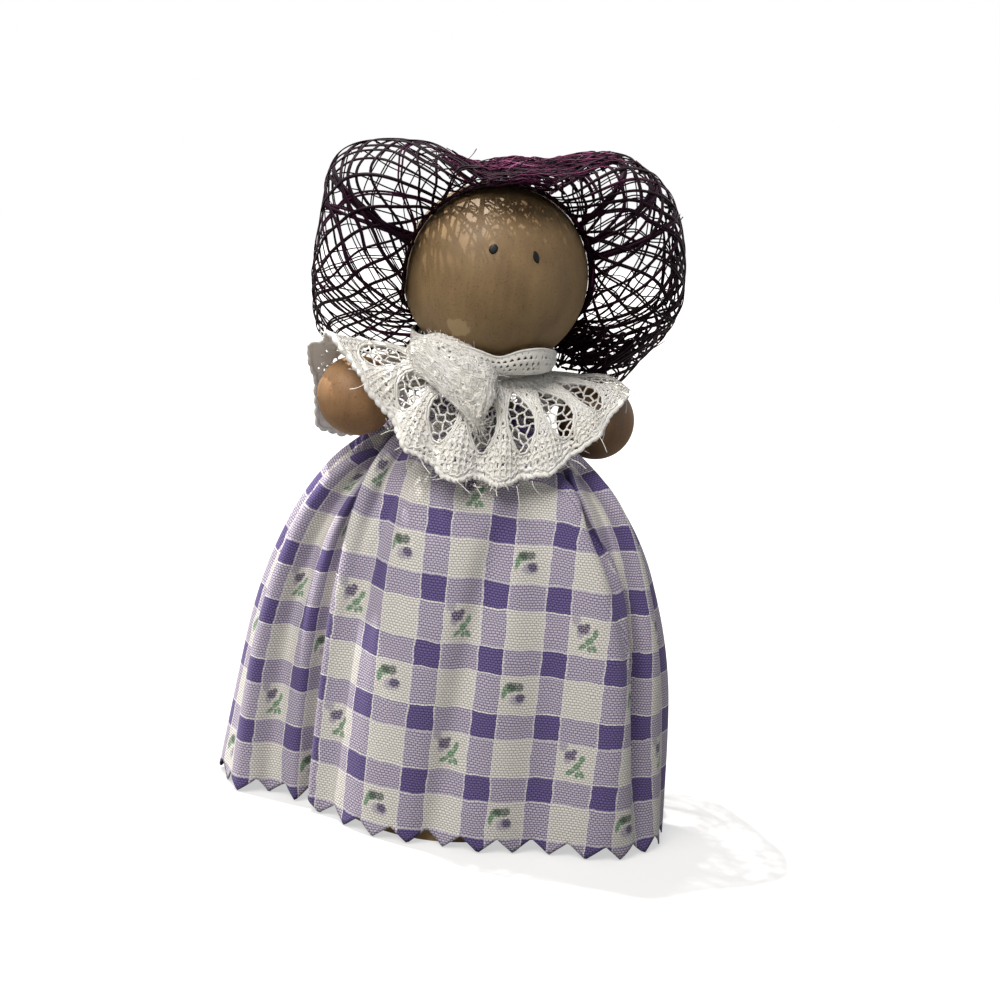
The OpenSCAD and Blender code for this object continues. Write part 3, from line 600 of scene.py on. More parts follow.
def ginghamCloth():
    # printed plain-weave cotton, matt with a little fuzz: short weft dashes stand over a dip darkened with painted
    # shade, and the sprigs soak into the threads
    material, tree, shader = newMaterial("printed cotton gingham")
    place = addNode(tree, "Attribute", attribute_name="clothPlace").outputs["Vector"]
    wobble = addNode(tree, "TexNoise", {"Vector": place, "Scale": 0.35, "Detail": 1}).outputs["Color"]
    shift = addNode(tree, "VectorMath", {0: wobble, 1: (0.5, 0.5, 0.5)}, operation="SUBTRACT")
    moved = addNode(tree, "VectorMath", {0: shift, 1: (0.7, 0.7, 0), 2: place}, operation="MULTIPLY_ADD")
    # the stripes' edges are ragged by up to half a thread
    rough = addNode(tree, "TexNoise", {"Vector": place, "Scale": 2.2, "Detail": 1}).outputs["Color"]
    ragged = addNode(tree, "VectorMath", {0: rough, 1: (0.22, 0.22, 0), 2: moved}, operation="MULTIPLY_ADD")
    offset = addNode(tree, "VectorMath", {0: ragged, 1: (gingham["across"], gingham["up"], 0)}, operation="ADD")
    inRepeats = addNode(tree, "VectorMath", {0: offset, "Scale": 1 / gingham["repeat"]}, operation="SCALE")
    cell = addNode(tree, "VectorMath", {0: inRepeats}, operation="FRACTION")
    number = addNode(tree, "VectorMath", {0: inRepeats}, operation="FLOOR")
    cellParts = addNode(tree, "SeparateXYZ", {0: cell}).outputs
    numberParts = addNode(tree, "SeparateXYZ", {0: number}).outputs
    # the dips between the weft dashes take the darker colour of each pair: painted shade in the weave's hollows
    dip = addNode(tree, "TexBrick", {
        "Vector": moved, "Scale": 1.0, "Brick Width": gingham["dash"], "Row Height": gingham["thread"],
        "Mortar Size": 0.10, "Mortar Smooth": 0.6, "Bias": 0.0}, offset=0.5).outputs["Fac"]
    shades = {}
    for key in ("cream", "lilac", "violet", "white"):
        top, low = gingham[key]
        shades[key] = addNode(tree, "Mix", {"Factor": dip, "A": hexToLinear(top), "B": hexToLinear(low)},
                              data_type="RGBA")
    # along each direction: red in the coloured stripe, and green in the thin white line on both sides of it
    width, line = gingham["stripe"] / gingham["repeat"], gingham["line"] / gingham["repeat"]
    bands = []
    for part in ("X", "Y"):
        band = addNode(tree, "ValToRGB", {0: cellParts[part]})
        band.color_ramp.interpolation = "CONSTANT"
        setStops(band, [(0.0, "#FF0000"), (width, "#00FF00"), (width + line, "#000000"), (1 - line, "#00FF00")])
        bands.append(addNode(tree, "SeparateColor", {0: band}).outputs)
    (inWarp, warpLine), (inWeft, weftLine) = bands[0][:2], bands[1][:2]
    plain = addNode(tree, "Mix", {"Factor": inWeft, "A": shades["cream"], "B": shades["lilac"]}, data_type="RGBA")
    dyed = addNode(tree, "Mix", {"Factor": inWeft, "A": shades["lilac"], "B": shades["violet"]}, data_type="RGBA")
    checked = addNode(tree, "Mix", {"Factor": inWarp, "A": plain, "B": dyed}, data_type="RGBA")
    onLine = addNode(tree, "Math", {0: warpLine, 1: weftLine}, operation="MAXIMUM")
    lined = addNode(tree, "Math", {0: onLine, 1: 0.8}, operation="MULTIPLY")
    colour = addNode(tree, "Mix", {"Factor": lined, "A": checked, "B": shades["white"]}, data_type="RGBA")
    # a sprig lies in every other white square; squares without one are moved out of its reach, and odd
    # rows are moved to the second kind of sprig
    both = addNode(tree, "Math", {0: numberParts[0], 1: numberParts[1]}, operation="ADD")
    empty = addNode(tree, "Math", {0: both, 1: 2.0}, operation="FLOORED_MODULO")
    oddRow = addNode(tree, "Math", {0: numberParts[1], 1: 2.0}, operation="FLOORED_MODULO")
    farOff = addNode(tree, "Math", {0: empty, 1: 99.0}, operation="MULTIPLY")
    jump = addNode(tree, "Math", {0: oddRow, 1: gingham["kindApart"], 2: farOff}, operation="MULTIPLY_ADD")
    centre = (width + 1) / 2
    fromMiddle = addNode(tree, "VectorMath", {0: cell, 1: (centre, centre, 0)}, operation="SUBTRACT")
    local = addNode(tree, "VectorMath", {
        0: fromMiddle, 1: (gingham["repeat"], gingham["repeat"], 0),
        2: addNode(tree, "CombineXYZ", {0: jump})}, operation="MULTIPLY_ADD")
    blot = addNode(tree, "TexNoise", {"Vector": place, "Scale": 2.6, "Detail": 2})
    dashed = addNode(tree, "Math", {0: dip, 1: 0.35, 2: 0.75}, operation="MULTIPLY_ADD")
    for code, strength, marks in gingham["sprigs"]:
        nearest = None
        for x, y, wide, high, turn in marks:
            mark = addNode(tree, "Mapping", {
                "Vector": local, "Location": (x, y, 0), "Rotation": (0, 0, math.radians(turn)),
                "Scale": (wide, high, 1)}, vector_type="TEXTURE")
            size = addNode(tree, "VectorMath", {0: mark}, operation="LENGTH")
            nearest = addNode(tree, "Math", {0: size, 1: nearest}, operation="MINIMUM") if nearest else size
        worn = addNode(tree, "Math", {0: blot, 1: 0.9, 2: nearest}, operation="MULTIPLY_ADD")
        printed = addNode(tree, "MapRange", {"Value": worn, "From Min": 1.62, "From Max": 1.22, "To Max": strength})
        inked = addNode(tree, "Math", {0: printed, 1: dashed}, operation="MULTIPLY")
        colour = addNode(tree, "Mix", {"Factor": inked, "A": colour, "B": hexToLinear(code)}, data_type="RGBA")
    slub = addNode(tree, "TexNoise", {"Vector": place, "Scale": 1.4, "Detail": 2})
    tone = addNode(tree, "Math", {0: slub, 1: 0.16, 2: 0.90}, operation="MULTIPLY_ADD")
    toned = addNode(tree, "VectorMath", {0: colour, "Scale": tone}, operation="SCALE")
    height = addNode(tree, "Math", {0: 1.0, 1: dip}, operation="SUBTRACT")
    relief = addNode(tree, "Bump", {"Strength": 0.6, "Distance": 0.08 * mm, "Height": height})
    feed(tree, shader, {"Base Color": toned, "Roughness": 0.88, "Sheen Weight": 0.12, "Sheen Roughness": 0.5,
                        "Normal": relief})
    return material


def addSkirt():
    front, out, cloth, height = skirtGrid()
    back = front - out * skirt["thickness"]
    back[..., 2] = np.maximum(back[..., 2], skirt["floorGap"])
    keep = np.ones((skirt["rows"] - 1, skirt["columns"]), bool)
    place = np.stack([cloth, height, height * 0], -1)
    piece = clothPiece("ginghamSkirt", front[::-1], back[::-1], keep, ginghamCloth(), "gingham", "skirt",
                       place=place[::-1])


addSkirt()
print("skirt sewn")


# bonnet: an open straw weave on the bias, gathered round the face and drawn in at the nape

bonnet = {
    "leftEnd": 125.0, "rightEnd": 124.0, "shapeEnd": 118.0, "columns": 340, "rollRows": 70, "backRows": 48,
    "rim": 32.5, "roll": 8.5, "visor": 5.2, "back": 9.0, "edge": 15.3, "crownWidth": 34,
    "rimShares": [0.965, 1.00, 0.965, 0.965, 0.875, 0.630, 0.565, 0.550, 0.765, 0.950, 0.900, 0.890, 0.905],
    # from the face over the rim: share of the reach, of the depth forwards or backwards, and of a dent
    "rowShares": [[0.00, -0.35, 0.0], [0.16, -0.75, 0.9], [0.40, -1.0, 0.6], [0.66, -0.95, 0.2],
                  [0.88, -0.65, 0.0], [1.00, -0.12, 0.0], [1.01, 0.45, 0.0], [0.94, 1.0, 0.0]],
    "dent": 1.2, "sweepDepth": 12.0, "sweepFrom": 85.0, "sweepOver": 32.0, "tuck": 22.0, "tuckFrom": 70, "tuckOver": 50,
    # where the nape's thread draws the cloth together, and the tail that comes out of it: reach, way along
    "nape": (6, 17, -12), "napeReach": 3.5, "tailLength": 5,
    "tail": [(0.88, 0.15), (0.8, 0.3), (0.75, 0.6), (0.95, 0.8), (1.2, 1.0)],
    # the weave in mm: pitch, a strand's width and thickness before the rim and behind it, and the share of the
    # cloth before the rim that the front piece takes
    "cell": 3.9, "strandWidth": 0.5, "strandThick": 0.16, "farWidth": 0.21, "farThick": 0.13, "frontShare": 0.93,
    # how far a strand wanders, in shares of the pitch, how often it is a pair, how far a pair lies apart, and how
    # much thinner strands are drawn where they run under the roll
    "wander": 0.22, "pairs": 0.2, "pairApart": 0.55 * 0.30, "pairWidth": 0.7, "thinner": 0.86,
    "weaveGap": 1.1, "tangleGap": 0.35,
    # bunched layers over the crown: how far each lies above the cloth; the degrees and shares that they cover
    "layers": (-0.35, 0.0, 0.3, 0.6), "layersRound": (-28, 43), "layersDown": (0.5, 1.3),
    # crumpled strands: count, points, middle and half length in degrees, ends, share of the way down to the
    # rim, slope, ripple, lift, width, tones
    "crumpled": [
        # finer ones on the roll's front
        (90, 30, (4, 13), (6, 22), (-30, 40), (0.42, 0.66), 0.9, (0.35, 11), (-0.3, 0.4), (0.16, 0.26),
         (0.1, 0.3, 0.45)),
        # the underside of the roll and its root over the forehead
        (60, 26, (0, 16), (8, 24), (-60, 58), (0.0, 0.05), 0.3, (0.3, 9), (-0.25, 0.35), (0.14, 0.26),
         (0.0, 0.2, 0.35)),
        # the crown's lower front
        (34, 26, (2, 7), (6, 14), (-20, 22), (0.2, 0.48), 0.5, (0.3, 9), (-0.2, 0.3), (0.16, 0.26),
         (0.0, 0.2, 0.35))],
    # other loose strands: over the crown, drawn in round the face, on the right rim, in the mass behind the neck,
    # and cut ends
    "overCrown": 46, "roundFace": 96, "onRim": 9, "mass": 105, "cutEnds": 46,
    # creases: where at the rim, how far they turn by the face, strands, spread, in degrees
    "creases": [(-62, -14, 7, 1.0), (-74, 6, 5, 0.9), (36, 16, 5, 1.2), (50, 14, 6, 1.2), (63, 10, 5, 1.0)]}


def bonnetSurface():
    # the whole cloth as a grid: across from its left end to its right end, and down from the face to the nape
    angle = bonnet["leftEnd"] - (bonnet["leftEnd"] + bonnet["rightEnd"]) * np.linspace(0, 1, bonnet["columns"])
    place = (bonnet["leftEnd"] - angle) / (bonnet["leftEnd"] + bonnet["shapeEnd"])
    rim = bonnet["rim"] * lineValue(bonnet["rimShares"], place)
    swept = bonnet["sweepDepth"] * ease((np.abs(angle) - bonnet["sweepFrom"]) / bonnet["sweepOver"])
    edgeY = swept - bonnet["roll"] * 0.35
    inner = np.sqrt(bonnet["edge"] ** 2 - edgeY ** 2)
    w = np.linspace(0, 1, bonnet["rollRows"])
    share = lineValue(bonnet["rowShares"], w)
    crown = bump(angle, bonnet["crownWidth"])
    front = (bonnet["roll"] + bonnet["visor"] * crown)[None] * np.minimum(share[:, 1:2], 0)
    depth = front + bonnet["back"] * np.maximum(share[:, 1:2], 0) + swept[None]
    depth[0] = edgeY
    reach = inner[None] + (rim - inner)[None] * share[:, 0:1] - bonnet["dent"] * share[:, 2:3] * (1 - crown[None])
    # near the head the ends are tucked further down behind the collar than at the rim
    tuck = ease((np.abs(angle) - bonnet["tuckFrom"]) / bonnet["tuckOver"])
    tuck = bonnet["tuck"] * tuck[None] * (1 - ease(w / 0.75))[:, None]
    a = np.radians(angle[None] + np.sign(angle)[None] * tuck)
    roll = np.stack([np.sin(a) * reach, depth, np.cos(a) * reach], -1)
    # behind the rim the cloth goes round the head's ball to the nape
    last, nape = roll[-1], np.array(bonnet["nape"], float)
    axis, away = unit(nape), last - nape
    out = unit(away - (away @ axis)[:, None] * axis)
    goal = nape + out * bonnet["napeReach"]
    f, g = np.linalg.norm(last, axis=1), np.linalg.norm(goal, axis=1)
    u, v = last / f[:, None], goal / g[:, None]
    turn = np.arccos(np.clip((u * v).sum(1), -1, 1))
    back = []
    for k in np.linspace(0, 1, bonnet["backRows"])[1:]:
        way = (np.sin((1 - k) * turn) / np.sin(turn))[:, None] * u + (np.sin(k * turn) / np.sin(turn))[:, None] * v
        back.append(way * ((1 - k) * f + k * g)[:, None])
    tail = [nape + axis * bonnet["tailLength"] * far + out * bonnet["napeReach"] * wide for wide, far in bonnet["tail"]]
    points = clearOfHands(np.concatenate([roll, back, tail]) + head["middle"], bonnet["weaveGap"])
    step = np.linalg.norm(np.diff(points, axis=0), axis=2).mean(1)
    down = np.concatenate([[0], np.cumsum(step)])
    # the cloth is bunched over the crown, so more of it lies along each millimetre there
    run = np.linalg.norm(np.diff(points[len(roll) * 5 // 7], axis=0), axis=1)
    run = run * (1 + 0.3 * bump(angle[1:], 22) + 0.4 * bump(angle[1:] - 104, 10))
    normal = unit(np.cross(np.gradient(points, axis=1), np.gradient(points, axis=0)))
    return {"points": points, "normal": normal, "along": np.concatenate([[0], np.cumsum(run)]), "down": down,
            "angle": angle, "rimDown": down[len(roll) - 1]}


def onBonnet(surface, s, t, lift):
    # points and directions outwards at a distance s along the cloth and t down it
    column = np.interp(s, surface["along"], np.arange(len(surface["along"])))
    row = np.interp(t, surface["down"], np.arange(len(surface["down"])))
    out = unit(between(surface["normal"], row, column))
    return between(surface["points"], row, column) + out * np.asarray(lift)[..., None], out


def dyedStraw():
    # split straw dyed plum, nearly black; tones vary from strand to strand, and the pale pink ones are painted sheen,
    # given most to the crown's strands
    material, tree, shader = newMaterial("plum dyed straw with painted sheen")
    tone = addNode(tree, "Attribute", attribute_name="shade").outputs["Fac"]
    place = addNode(tree, "TexCoord").outputs["Object"]
    fibre = addNode(tree, "TexNoise", {"Vector": place, "Scale": 1 / (0.5 * mm), "Detail": 2})
    mix = addNode(tree, "Math", {0: fibre, 1: 0.5, 2: tone}, operation="MULTIPLY_ADD")
    ramp = addNode(tree, "ValToRGB", {0: mix})
    # the two pale pink stops are painted sheen
    setStops(ramp, [(0.25, "#14060F"), (0.52, "#280C20"), (0.76, "#5C2344"), (1.0, "#92587A")])
    relief = addNode(tree, "Bump", {"Strength": 0.3, "Distance": 0.05 * mm, "Height": fibre})
    feed(tree, shader, {"Base Color": ramp, "Roughness": 0.5, "Specular IOR Level": 0.07, "Normal": relief})
    return material


def biasLines(surface):
    # the cloth's strands in both directions on the bias, as distance along the cloth and distance down it
    own = np.random.default_rng(12)
    warpS, warpT = waves(21, 17), waves(22, 15)
    total, deep, cell = surface["along"][-1], surface["down"][-1], bonnet["cell"]
    t = np.arange(0, deep, 0.55)
    for lean in (1, -1):
        starts = np.arange(-deep - cell, total + deep + cell, cell)
        for s0 in starts + own.uniform(-bonnet["wander"], bonnet["wander"], len(starts)) * cell:
            s = s0 + lean * t
            s = s + 0.55 * warpS(s0 + 0 * t, t) + 0.35 * warpS(s, t * 0.5)
            yield lean, s, np.clip(t + 0.5 * warpT(s, t), 0, deep)


def addBonnet(surface, straw):
    own = np.random.default_rng(11)
    lift = waves(23, 9)
    near, far = [], []
    total, rimDown, cell = surface["along"][-1], surface["rimDown"], bonnet["cell"]
    for lean, s, t in biasLines(surface):
        pair = own.random() < bonnet["pairs"]
        wide = own.uniform(0.75, 1.2)
        tone = own.choice([0.0, 0.08, 0.16, 0.28], p=[0.4, 0.3, 0.2, 0.1])
        for shift in ((0, bonnet["pairApart"]) if pair else (0,)):
            ss = s + shift * cell
            inside = (ss > 0) & (ss < total)
            if inside.sum() < 4:
                continue
            first, final = np.argmax(inside), len(inside) - np.argmax(inside[::-1])
            cs, ct = ss[first:final], t[first:final]
            # each strand goes over one that crosses it and under the next
            wave = np.sin(np.pi * (cs - lean * ct) / cell) * 0.10 * lean + 0.12 * lift(cs, ct)
            path, out = onBonnet(surface, cs, ct, wave)
            cut = int((ct < rimDown * bonnet["frontShare"]).sum())
            if cut > 3:
                # strands are drawn thin where they run under the roll above the face
                angle = np.interp(cs[:cut + 1], surface["along"], surface["angle"])
                under = bump(angle, bonnet["crownWidth"]) * (1 - ease((ct[:cut + 1] / rimDown - 0.25) / 0.3))
                width = bonnet["strandWidth"] * wide * (bonnet["pairWidth"] if pair else 1)
                width = width * (1 - bonnet["thinner"] * under)
                near.append((path[:cut + 1], out[:cut + 1], width, bonnet["strandThick"], tone))
            if len(ct) - cut > 3:
                far.append((path[cut:], out[cut:], bonnet["farWidth"] * wide, bonnet["farThick"], tone * 0.6))
    nearPiece = strandPiece("bonnetFrontWeave", near, straw, "straw", "bonnet")
    farPiece = strandPiece("bonnetBackWeave", far, straw, "straw", "bonnet")
    print("bonnet: strands", len(near), len(far), "cloth mm",
          [round(float(size)) for size in (total, surface["down"][-1], rimDown)])
    return nearPiece, farPiece, (bonnet["frontShare"] * rimDown * mm, total * mm)


def addBonnetTangle(surface, straw):
    # crumpled straw over the crown, the drawn-in edge round the face, the creases and the thick right rim
    along, angle, rimDown = surface["along"], surface["angle"], surface["rimDown"]
    own = np.random.default_rng(13)
    strands = []

    def alongAt(a):
        return np.interp(a, angle[::-1], along[::-1])

    def run(a, t, lift, width, thick, tone):
        strands.append((*onBonnet(surface, alongAt(a), t, lift), width, thick, tone))

    (fromAngle, toAngle), (fromDown, toDown) = bonnet["layersRound"], bonnet["layersDown"]
    for lean, s, depth in biasLines(surface):
        # bunched layers: more strands above and below the same lines of the weave
        at = np.interp(s, along, angle)
        inside = ((at > fromAngle) & (at < toAngle) & (s > 0) & (s < along[-1])
                  & (depth > fromDown * rimDown) & (depth < toDown * rimDown))
        if inside.sum() < 8:
            continue
        first, final = np.flatnonzero(inside)[[0, -1]]
        for level in bonnet["layers"]:
            ends = own.integers(0, 6, 2)
            part = slice(first + ends[0], max(final - ends[1], first + ends[0] + 4))
            x = np.linspace(0, 3, len(s[part]))
            path, out = onBonnet(surface, s[part] + own.normal(0, 0.10) + 0.1 * np.sin(x * 3 + level * 9), depth[part],
                                 level + 0.12 * np.sin(x * 5 + level * 20))
            # these bunched strands take paler tones: painted highlight where light falls on the crown
            strands.append((path, out, own.uniform(0.26, 0.44), 0.14, own.choice([0.15, 0.3, 0.45, 0.65])))
    for k in range(bonnet["overCrown"]):
        # the crown's tangle, from one lobe's root to the other's; its paler tones are painted highlight
        middle, half = own.normal(5, 12), own.uniform(6, 26)
        x = np.linspace(-1, 1, 34)
        a = np.clip(middle + half * x, -31, 43)
        y = own.triangular(0.60, 0.68, 0.86) * rimDown + own.normal(0, 1.6) * x
        y = y + own.normal(0, 0.8) * np.sin(x * own.uniform(2, 6) + k) + 0.25 * np.sin(x * 19 + k)
        y = y + (0.82 * rimDown - y) * 0.25 * np.abs(a / 41) ** 2
        lift = own.uniform(-0.55, 0.75) + 0.3 * np.sin(x * own.uniform(3, 8) + k) * (1 - x * x)
        run(a, np.clip(y, 0.2, None), lift, own.uniform(0.18, 0.36), 0.13,
            own.choice([0.15, 0.3, 0.5, 0.7], p=[0.25, 0.3, 0.3, 0.15]))
    for count, steps, middle, half, ends, level, slope, ripple, lift, width, tones in bonnet["crumpled"]:
        for k in range(count):
            x = np.linspace(-1, 1, steps)
            a = np.clip(own.normal(*middle) + own.uniform(*half) * x, *ends)
            y = own.uniform(*level) * rimDown + own.normal(0, slope) * x + ripple[0] * np.sin(x * ripple[1] + k)
            run(a, np.clip(y, 0, None), own.uniform(*lift), own.uniform(*width), 0.1, own.choice(tones))
    for level in (0.05, 0.35, 0.7):
        # the edge's own drawn thread
        a = np.linspace(-116, 116, 240)
        run(a, level + 0.06 * np.sin(a / 5 + level * 9), 0.05 * np.sin(a / 7), 0.42, 0.26, 0.12)
    for k in range(bonnet["roundFace"]):
        # the drawn-in edge round the face, thicker on the right
        start = own.uniform(-116, 100) if k < 50 else own.uniform(35, 100)
        a = np.linspace(start, min(start + own.uniform(15, 70), 122), 40)
        y = own.uniform(0.0, 1.7) + 0.25 * np.sin(a / 3.1 + k)
        run(a, np.clip(y, 0, None), own.uniform(-0.15, 0.3) + 0.1 * np.sin(a / 2 + k), own.uniform(0.2, 0.38), 0.13,
            own.choice([0.05, 0.25, 0.45]))
    for at, turnIn, count, spread in bonnet["creases"]:
        for k in range(count):
            # a crease: strands drawn together from the rim to the head's edge
            x = np.linspace(0.06, 0.92, 44)
            a = at + turnIn * (1 - x) ** 1.5 + own.normal(0, spread) * (0.25 + x) + np.sin(x * 5 + k)
            run(a, x * rimDown, 0.12 + own.uniform(-0.15, 0.25), own.uniform(0.3, 0.5), 0.15,
                own.choice([0.0, 0.1, 0.2]))
    for k in range(bonnet["onRim"]):
        # the right rim, rolled double
        a = np.linspace(own.uniform(58, 75), own.uniform(90, 112), 50)
        y = rimDown * own.uniform(0.74, 1.0) + 0.5 * np.sin(a / 7 + k) + own.normal(0, 0.02) * (a - 85)
        run(a, y, own.uniform(-0.2, 0.3), own.uniform(0.25, 0.5), 0.14, own.choice([0.0, 0.1, 0.25]))
    for k in range(bonnet["mass"]):
        # the gathered mass low on the right, behind the neck
        a = np.linspace(own.uniform(96, 110), own.uniform(112, 124), 30)
        y = own.uniform(0.0, 0.42) * rimDown + own.normal(0, 1.2) * np.linspace(-1, 1, 30)
        run(a, np.clip(y, 0, None), own.uniform(-1.2, 0.2), own.uniform(0.25, 0.45), 0.14, own.choice([0.0, 0.1]))
    for k in range(bonnet["cutEnds"]):
        # cut ends and split fibres that stand out
        a = own.choice([own.uniform(-60, 55), own.uniform(60, 118), own.uniform(-112, -60)], p=[0.55, 0.3, 0.15])
        t = own.uniform(0.55, 0.98) * rimDown
        start, out = onBonnet(surface, alongAt(np.array([a])), np.array([t]), 0.1)
        way = unit(out[0] * own.uniform(0.3, 1.0) + own.normal(0, 0.7, 3))
        strands.append(looseFibre(start, out, way, own.uniform(0.8, 2.4), own.normal(0, 0.5, 3), 8, 0.14, 0.1,
                                  own.choice([0.1, 0.6])))
    strands = [(clearOfHands(path, bonnet["tangleGap"]), *rest) for path, *rest in strands]
    return strandPiece("bonnetTangle", strands, straw, "straw", "bonnet")


strawCloth, straw = bonnetSurface(), dyedStraw()
bonnetFront, bonnetBack, bonnetFlat = addBonnet(strawCloth, straw)
bonnetTangle = addBonnetTangle(strawCloth, straw)
# the part before the rim, cut from one piece with the back: the weave is open, and straw covers under half of it
print("bonnet woven")


# collar: a strip of gathered cotton lace, its ends crossed at the front

lace = {
    "waist": 5.2, "tie": 75.891, "headGap": 1.2, "headingHeight": 5.0, "reach": 28.0, "drop": 16.4, "sag": 0.9,
    "lift": 2.4, "handGap": 0.8, "hairGap": 0.2,
    # round the neck from the front towards +X: the heading's height, the frill's reach, drop and lift
    "dip": [0.75, 1.03, 1.12, 1.02, 0.82, 0.70, 0.68, 0.76, 0.9, 1, 1, 1,
            1, 1, 1, 1, 1, 1, 1, 1, 1.05, 1.10, 1.05, 0.90],
    "reachShares": [
        0.575, 0.61, 0.66, 0.73, 0.785, 0.835, 0.83, 0.76, 0.74, 0.73, 0.72, 0.71,
        0.70, 0.71, 0.76, 0.86, 1.00, 1.04, 1.00, 0.93, 0.76, 0.695, 0.64, 0.59],
    "dropShares": [
        0.93, 0.90, 0.78, 0.58, 0.33, 0.14, 0.12, 0.14, 0.28, 0.52, 0.79, 0.94,
        0.97, 0.97, 0.97, 1.00, 1.00, 0.40, -0.04, -0.04, 0.40, 0.67, 0.86, 0.92],
    "liftShares": [
        0, 0, 0, 0.1, 0.25, 0.3, 0.25, 0.2, 0.1, 0, 0, 0,
        0, 0, 0, 0.1, 0.6, 1.1, 1.2, 1.25, 0.8, 0.2, 0, 0],
    # down the cloth: heading reach, heading height, frill reach, drop, ruffle, lift
    "rowShares": [
        [1.00, 1.00, 0, 0, 0, 0], [0.99, 0.50, 0, 0, 0, 0], [0.80, 0.14, 0, 0, 0, 0], [0, 0, 0, 0, 0, 0],
        [0, 0, 0.25, 0.00, 0.1, 0.6], [0, 0, 0.50, 0.14, 0.4, 1.08], [0, 0, 0.73, 0.40, 0.7, 1.0],
        [0, 0, 0.90, 0.71, 0.9, 1.0], [0, 0, 1.00, 1.00, 1.0, 1.0]],
    # where the openwork windows lie round the neck, between sixteen shell-shaped fans
    "windows": [-153, -130, -108, -88, -70.5, -54.5, -34, -7, 18.5, 41.5, 63, 85, 108, 131, 154, 180],
    "windowFrom": 0.31, "windowTo": 0.78, "windowHalf": 2.05, "netCell": 1.42, "netThread": 0.24,
    # in mm: a fan's width and depth, its stitches across and down, and the heading's net across and down
    "pitch": 8.2, "frill": 21, "stitch": 0.80, "row": 0.92, "headingNet": 0.74, "headingRow": 0.62,
    "thickness": 0.3, "columns": 560, "headingRows": 40, "frillRows": 62, "length": 150.0, "width": 26.0,
    # pinholes: shares down the frill where they start and end, how many of them are open, and the heading's
    # radius and depth in mm
    "holesFrom": 0.2, "holesTo": 0.93, "openShare": 0.7, "headingReach": 9.4, "headingDepth": 5.2,
    # loose ends, with the angles of those that show in front, and hairs of fuzz
    "looseEnds": 34, "endsInFront": [-63, -48, -30, -20, 2, 24, 40, 52, -40, -12, 12], "fuzz": 1500}
# q runs down the strip, from 0 at the heading's top over tieQ at the tie to 1 at the frill's edge, and a little past it
tieQ, lastQ = 0.375, 1.04


def frillQ(share):
    return tieQ + (1 - tieQ) * share


def fanWidth(share):
    # a fan's width at a share of the way down the frill, where it opens out
    return lace["pitch"] * (0.30 + 0.70 * share)


def fanPlace(angle):
    # the fan's number round the neck: a whole number at each window, a half at each fan's middle
    marks = np.array(lace["windows"], float)
    marks = np.concatenate([marks - 360, marks, marks + 360])
    return np.interp(turned(np.asarray(angle, float)), marks, np.arange(len(marks)) - len(lace["windows"]))


def lacePoint(angle, q):
    inside = np.minimum(q, 1)
    row = lineValue(lace["rowShares"], inside)
    top = lace["tie"] + lace["headingHeight"] * ringValue(lace["dip"], angle)
    # the heading stands against the head's ball
    ball = head["radius"] + lace["headGap"]
    against = np.sqrt(np.maximum(ball ** 2 - (head["middle"][2] - top) ** 2, lace["waist"] ** 2))
    out = lace["reach"] * ringValue(lace["reachShares"], angle) - lace["waist"]
    drop = lace["drop"] * ringValue(lace["dropShares"], angle)
    up = ringValue(lace["liftShares"], angle)
    frill = inside > tieQ
    past = np.maximum(q - 1, 0) * 8
    tuck = 1.3 * bump(q - tieQ, 0.05) * (1 + 0.45 * np.cos(np.radians(angle) * 46))
    reach = np.where(frill, lace["waist"] + out * (row[..., 2] + 0.10 * past),
                     np.maximum(against * row[..., 0], lace["waist"])) + tuck
    hang = lace["sag"] * ease((q - tieQ) / 0.06) + drop * (row[..., 3] + 0.29 * past)
    z = lace["tie"] + np.where(frill, lace["lift"] * up * row[..., 5] - hang, (top - lace["tie"]) * row[..., 1])
    fan = np.cos(2 * np.pi * fanPlace(angle))
    wave = -0.75 * fan * row[..., 4] + 0.35 * np.cos(np.radians(angle) * 48 + 1) * bump(q - 0.45, 0.12)
    side = np.maximum(drop, 0)
    size = np.sqrt(out ** 2 + side ** 2)
    point = around(angle) * (reach + wave * side / size)[..., None]
    point[..., 2] += z + wave * out / size
    return clearOfHands(point, lace["handGap"])


def laceSurface():
    # a table of the collar's points and outward directions, for cloth and threads that lie on it
    angle, q = np.meshgrid(np.linspace(-180, 180, 1081), np.linspace(0, lastQ, 240))
    points = lacePoint(angle, q)
    return points, unit(np.cross(np.gradient(points, axis=0), np.gradient(points, axis=1)))


def onLace(surface, angle, q, lift=0.0):
    points, normal = surface
    row = np.clip(np.asarray(q) / lastQ, 0, 1) * (len(points) - 1)
    column = (turned(np.asarray(angle)) + 180) / 360 * (points.shape[1] - 1)
    out = unit(between(normal, row, column))
    return between(points, row, column) + out * np.asarray(lift)[..., None], out


def windowHalf(share):
    t = np.clip((share - lace["windowFrom"]) / (lace["windowTo"] - lace["windowFrom"]), 0, 1)
    return lace["windowHalf"] * np.sin(np.pi * t ** 1.3) ** 0.7


def windowGap(angle, share):
    # how far a place lies from the middle of its nearest window, in mm across
    g = fanPlace(angle)
    return (g - np.round(g)) * fanWidth(share)


def edgeShare(angle):
    # the frill's edge is scalloped: it swells at each fan and dips at each window, in small steps
    g = fanPlace(angle)
    return (1.0 - 0.105 * np.abs(np.cos(np.pi * g)) ** 1.4 + 0.016 * np.abs(np.sin(np.pi * g * 8))
            + 0.010 * np.sin(g * 7.1 + 1) + 0.008 * np.sin(g * 17.3))


def lattice(across, down, width, height):
    # which column and row of a net each place is in, and its distance from the cell's middle in shares of a cell
    row = np.floor(down / height)
    x = np.abs((across / width + 0.5 * (row % 2)) % 1 - 0.5)
    return np.floor(across / width).astype(int), row.astype(int), x, np.abs(down / height % 1 - 0.5)


